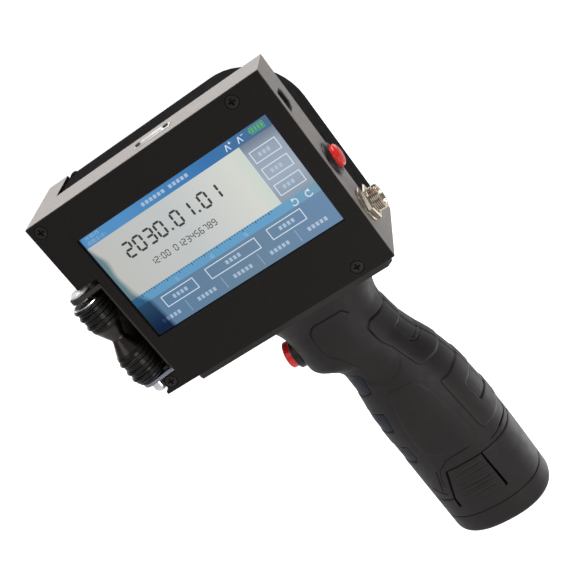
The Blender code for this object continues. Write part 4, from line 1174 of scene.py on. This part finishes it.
TRIGGER = (50.6, MID_Y, -25.2)
TRIGGER_TILT = math.radians(4.0)
TRIGGER_OUT = (-math.cos(TRIGGER_TILT), 0.0, math.sin(TRIGGER_TILT))


def make_trigger(m):
    """Trigger bezel, red cap and the switch behind it."""
    bore = 6.7
    bezel = [(0, -9.0), (bore, -9.0), (bore, 0.8)]
    bezel += rounded(((bore + 0.1, 1.1), (bore + 0.4, 1.3), (7.5, 1.15), (7.8, 0.85), (7.9, 0.5)), 3)
    bezel += [(7.9, -1.8), (7.2, -1.8), (7.2, -12.0), (0, -12.0)]
    ring = lathe(bezel, TRIGGER, TRIGGER_OUT, 72)
    piece("trigger_ring", ring, m["insert"], "housing", ("trigger_bezel",), 50)
    cap = [(0, -6.0), (6.4, -6.0), (6.4, 4.0)]
    cap += rounded(((6.35, 4.3), (6.1, 4.65), (5.5, 4.95), (4.2, 5.15), (2.4, 5.32), (0.8, 5.39)), 3)
    cap.append((0, 5.4))
    button = lathe(cap, TRIGGER, TRIGGER_OUT, 72)
    piece("trigger_button", button, m["red"], "trigger", ("trigger_cap",), 50)
    refined("trigger_switch", m["ink"], 0.2)


def make_grip(m):
    """Both handle halves and the cross-head screws in the far one."""
    grip_half(m, "grip_near", -1, "grip_shell_near")
    grip_half(m, "grip_far", 1, "grip_shell_far")
    for index in (1, 2):
        node = f"grip_screw_{index}"
        low, high = node_box(node)
        centre = (low + high) / 2
        top = high.y
        profile = [(0, low.y), (1.2, low.y), (1.2, top - 2.0), (2.5, top - 2.0), (2.5, top - 0.6)]
        profile += [(2.2, top - 0.15), (1.6, top), (0, top)]
        shape = lathe(profile, (centre.x, 0, centre.z), (0, 1, 0), 48)
        cutters = []
        for a, b in ((1.5, 0.3), (0.3, 1.5)):
            low_corner = (centre.x - a, top - 0.9, centre.z - b)
            cutters.append(slab(low_corner, (centre.x + a, top + 1, centre.z + b)))
        screw(m, f"grip_screw_head_{index}", node, shape, cutters)


# ----------------------------------------------------------------- battery

PAD_TOP_Z, PAD_TURN_Z, PAD_LOW_Z = -106.4, -122.4, -127.6
PAD_LEFT_X, PAD_RIGHT_X = (77.5, 72.2), (95.0, 95.5)
PAD_THICK, PAD_DRAFT = 1.5, 1.2
WINDOW = (
    (76.5, -105.8), (95.95, -105.8), (96.3, -113.7), (96.7, -121.6), (96.9, -127.65), (70.9, -127.65),
    (71.2, -121.9), (74.3, -114.0),
)
# Ribs of a latch pad: left and right x, and z.
PAD_RIBS = (
    (82.6, 93.7, -108.7), (78.5, 95.0, -111.8), (78.0, 94.0, -117.0), (77.5, 94.2, -119.4),
    (75.5, 93.0, -122.9),
)


def make_battery(m):
    """Battery case with its latch windows, ribbed latches, base cap and cells."""
    degrees = even_degrees(-180, 180, CASE_COLUMNS + 1)[:-1]
    top = seam_height(-np.abs(degrees)) - 0.3
    bottom = CAP_SEAM_Z + 0.02
    z = top + (bottom - top) * np.linspace(0, 1, CASE_ROWS)[:, None]
    angles = np.broadcast_to(degrees, z.shape)
    lift = -EDGE_DROP * (bell(z - top, 0.35) + bell(z - bottom, 0.3))
    outer = handle_points(angles, z, lift)
    inner = handle_points(angles[SPARSE], z[SPARSE], -CASE_WALL)
    mesh = shell_mesh("battery_shell", outer, inner, np.zeros(z.shape), True)
    case = dress("battery_shell", mesh, m["grip"], "battery", ("battery_case",), 50.0)
    reach = ((MID_Y - 40, MID_Y - 14), (MID_Y + 14, MID_Y + 40))
    carve(case, [prism(WINDOW, "y", *span) for span in reach])
    make_base_cap(m, degrees)
    make_latch(m, "latch_near", "battery_latch_near", -1)
    make_latch(m, "latch_far", "battery_latch_far", 1)
    for index in (1, 2, 3):
        make_cell(m, index)


def make_base_cap(m, degrees):
    """Battery foot: a cup whose lower edge is rounded."""
    turns = np.linspace(0, math.pi / 2, 12)
    top = CAP_SEAM_Z - 0.2
    levels = [(BASE_Z_LOW + 7.0, -2.8), (BASE_Z_LOW + 7.6, -2.2), (top, -2.2)]
    levels += [(top, -0.3), (top - 0.2, -0.08), (top - 0.6, 0.0), (-139.0, 0.0)]
    for a in turns:
        levels.append((BASE_Z_LOW + CAP_FILLET * (1 - math.sin(a)), -CAP_FILLET * (1 - math.cos(a))))
    rings = [handle_points(degrees, z, lift).tolist() for z, lift in levels]
    piece("battery_foot", skin(rings), m["grip"], "battery", ("battery_base_cap",), 45.0)


def make_latch(m, name, node, sign):
    """Battery release pad with five ribs, curved like the case."""
    z = np.linspace(PAD_TOP_Z, PAD_LOW_Z, LATCH_ROWS)[:, None]
    u = np.linspace(0, 1, LATCH_COLUMNS)[None, :]
    fall = np.clip((PAD_TOP_Z - z) / (PAD_TOP_Z - PAD_TURN_Z), 0, 1)
    left = PAD_LEFT_X[0] + (PAD_LEFT_X[1] - PAD_LEFT_X[0]) * fall
    drop = (PAD_TOP_Z - z) / (PAD_TOP_Z - PAD_LOW_Z)
    right = PAD_RIGHT_X[0] + (PAD_RIGHT_X[1] - PAD_RIGHT_X[0]) * drop
    x = left + (right - left) * u
    z = np.broadcast_to(z, x.shape)
    front, rear, half = station(z)
    share = np.clip(np.abs((x - (front + rear) / 2) / ((rear - front) / 2)), 0, 1)
    depth = half * (1 - share**SECTION_POWER) ** (1 / SECTION_POWER)
    lift, painted_shading = latch_relief(x, z, left, right)
    outer = np.stack((x, MID_Y + sign * (depth + lift), z), -1)
    drafted = x + PAD_DRAFT * (1 - u)
    back = MID_Y + sign * (depth - PAD_THICK)
    inner = np.stack((drafted, back, z), -1)[SPARSE]
    dress(name + "_pad", shell_mesh(name, outer, inner, painted_shading, False), m["grip"], name, (node,), 50.0)


def latch_relief(x, z, left, right):
    """Raised ribs and rounded edges of a latch pad, and its painted shading: painted shade under each rib
    above 0, painted highlight on each rib below 0.
    """
    lift = np.zeros(x.shape)
    painted_shading = np.zeros(x.shape)
    painted_highlight = np.zeros(x.shape)
    for start, stop, level in PAD_RIBS:
        ends = np.clip(np.minimum(x - start, stop - x) / 0.6, 0, 1)
        lift += 0.5 * ends * bell(z - level, 0.55)
        # painted shade under each rib
        painted_shading = np.maximum(painted_shading, 0.7 * ends * bell(z - level + 0.65, 0.3))
        # painted highlight along each rib's top
        painted_highlight = np.maximum(painted_highlight, 0.7 * ends * bell(z - level - 0.1, 0.35))
    side = np.minimum(np.minimum(x - left, right - x), PAD_TOP_Z - z)
    return lift - EDGE_DROP * bell(side, 0.3), painted_shading - painted_highlight * (1 - painted_shading)


def make_cell(m, index):
    """Wrapped battery cell with a raised terminal."""
    node = f"battery_cell_{index}"
    centre = node_centre(node)
    foot, tip, r = span(node)
    top = tip - 1
    profile = [(0, foot), (r - 0.6, foot), (r - 0.15, foot + 0.15), (r, foot + 0.6), (r, top - 0.9)]
    profile += [(r - 0.2, top - 0.25), (r - 0.8, top), (3.4, top), (3.0, top + 0.1), (2.9, tip - 0.1)]
    profile += [(2.6, tip), (0, tip)]
    shape = lathe(profile, (centre.x, centre.y, 0), UP, 64)
    piece(f"cell_{index}", shape, m["wrap"], "battery", (node,), 40)


# ---------------------------------------------------------------- interior

def make_interior(m):
    """Softened stand-ins for the pieces inside the box and the handle."""
    for node, key, width in (
        ("display_module", "satin", 0.2), ("mainboard", "board", 0.1), ("board_processor", "ink", 0.15),
        ("cover_hinge_pin", "steel", 0.15), ("cartridge_holder", "ink", 0.3),
        ("ink_cartridge", "ink", 0.8), ("cartridge_nozzle_plate", "gold", 0.1),
        ("cartridge_contact_board", "board", 0.1), ("cartridge_clip", "steel", 0.15),
        ("encoder_sensor", "ink", 0.1), ("battery_contact_block", "ink", 0.4),
    ):
        refined(node, m[key], width)


# ------------------------------------------------------------------- stage

# Below the battery's lowest place on its slide, so that the floor hides no pose.
JOINTS = frame["record"]["behaviour"]["joints"]
SLIDE = next(joint for joint in JOINTS if joint["name"] == "battery_slide")
FLOOR_Z = -SLIDE["range_m"][1] - 0.0002
FLOOR_GLOW = (1.5, 0.10)           # in a patch beside the handle, and elsewhere
PATCH_REACH = (0.06, 0.15)         # metres from its middle to where it starts and stops fading
SEEN_GLOW = 0.9                    # as the camera sees the floor
BRIGHT_PATCH = (0.14, 0.11, FLOOR_Z)
WORLD_GLOW = 0.26


def make_floor():
    """Pale floor whose bright patch is mirrored in the handle's rear edge."""
    bm = bmesh.new()
    bmesh.ops.create_grid(bm, x_segments=8, y_segments=8, size=6.0)
    for vert in bm.verts:
        vert.co.z = FLOOR_Z
    floor = add_object("floor", plain_mesh("floor", bm))
    s = Shader("floor_white")
    seen = s.node("ShaderNodeLightPath").outputs["Is Camera Ray"]
    s.set(Base_Color=(0.5, 0.5, 0.5, 1), Roughness=0.9, Specular_IOR_Level=0.0)
    away = s.combine("ShaderNodeVectorMath", "DISTANCE", s.where, BRIGHT_PATCH)
    glow = s.node("ShaderNodeMix", Factor=seen, A=s.remap(away, *FLOOR_GLOW, *PATCH_REACH), B=SEEN_GLOW)
    s.set(Emission_Color=(1, 1, 1, 1), Emission_Strength=glow.outputs["Result"])
    floor.data.materials.append(s.material)


def make_world():
    """White surroundings for the camera, dimmer ones for the light."""
    world = bpy.data.worlds.new("studio")
    bpy.context.scene.world = world
    world.use_nodes = True
    tree = world.node_tree
    tree.nodes.clear()
    output = tree.nodes.new("ShaderNodeOutputWorld")
    path = tree.nodes.new("ShaderNodeLightPath")
    mix = tree.nodes.new("ShaderNodeMixShader")
    tree.links.new(path.outputs["Is Camera Ray"], mix.inputs[0])
    for socket, colour, strength in ((1, (0.96, 0.98, 1.0, 1), WORLD_GLOW), (2, (1, 1, 1, 1), 1.0)):
        light = tree.nodes.new("ShaderNodeBackground")
        light.inputs["Color"].default_value = colour
        light.inputs["Strength"].default_value = strength
        tree.links.new(light.outputs[0], mix.inputs[socket])
    tree.links.new(mix.outputs[0], output.inputs["Surface"])


# Softboxes: place, aim, size, power.
LIGHTS = {
    "top_softbox": ((-0.02, 0.15, 1.1), (0, 0, 0.15), 0.9, 13.2),
    "screen_side_softbox": ((-0.5, -1.1, 0.75), (0, 0, 0.15), 0.8, 1.5),
    "rear_softbox": ((0.40, 1.0, 0.40), (0, 0, 0.12), 0.7, 1.9),
    "low_fill": ((0.20, -0.36, 0.06), (0.02, 0, 0.13), 0.22, 0.36),
    "left_edge": ((-0.6, 0.35, 0.25), (0, 0, 0.08), 0.4, 0.45),
}


def add_light(name, place, target, size, power):
    """A square softbox aimed at a point."""
    data = bpy.data.lights.new(name, "AREA")
    data.size = size
    data.energy = power
    obj = add_object(name, data)
    obj.location = place
    aim = Vector(target) - Vector(place)
    obj.rotation_euler = aim.to_track_quat("-Z", "Y").to_euler()


CAMERA_PLACE = (0.13339, -0.46435, 0.33239)
CAMERA_RIGHT = Vector((0.81242, 0.03871, -0.58178))
CAMERA_UP = Vector((0.50356, 0.45642, 0.73356))
CAMERA_LENS = 73.55


def make_camera():
    """Camera on the screen side, rolled about its view by some 38 degrees."""
    data = bpy.data.cameras.new("camera")
    data.lens = CAMERA_LENS
    data.sensor_width = 36.0
    data.clip_start = 0.01
    camera = add_object("camera", data)
    back = CAMERA_RIGHT.cross(CAMERA_UP)
    turned = Matrix((CAMERA_RIGHT, CAMERA_UP, back)).transposed().to_4x4()
    camera.matrix_world = Matrix.Translation(CAMERA_PLACE) @ turned
    bpy.context.scene.camera = camera
    bpy.context.scene.view_settings.view_transform = "Standard"


def build():
    """Make every visible piece."""
    m = make_materials()
    make_box(m)
    make_panel_screws(m)
    make_catch_screws(m)
    make_screen(m)
    make_power_button(m)
    make_connector(m)
    make_roller(m)
    make_trigger(m)
    make_grip(m)
    make_battery(m)
    make_interior(m)
    make_floor()
    make_world()
    for name, settings in LIGHTS.items():
        add_light(name, *settings)
    make_camera()


build()
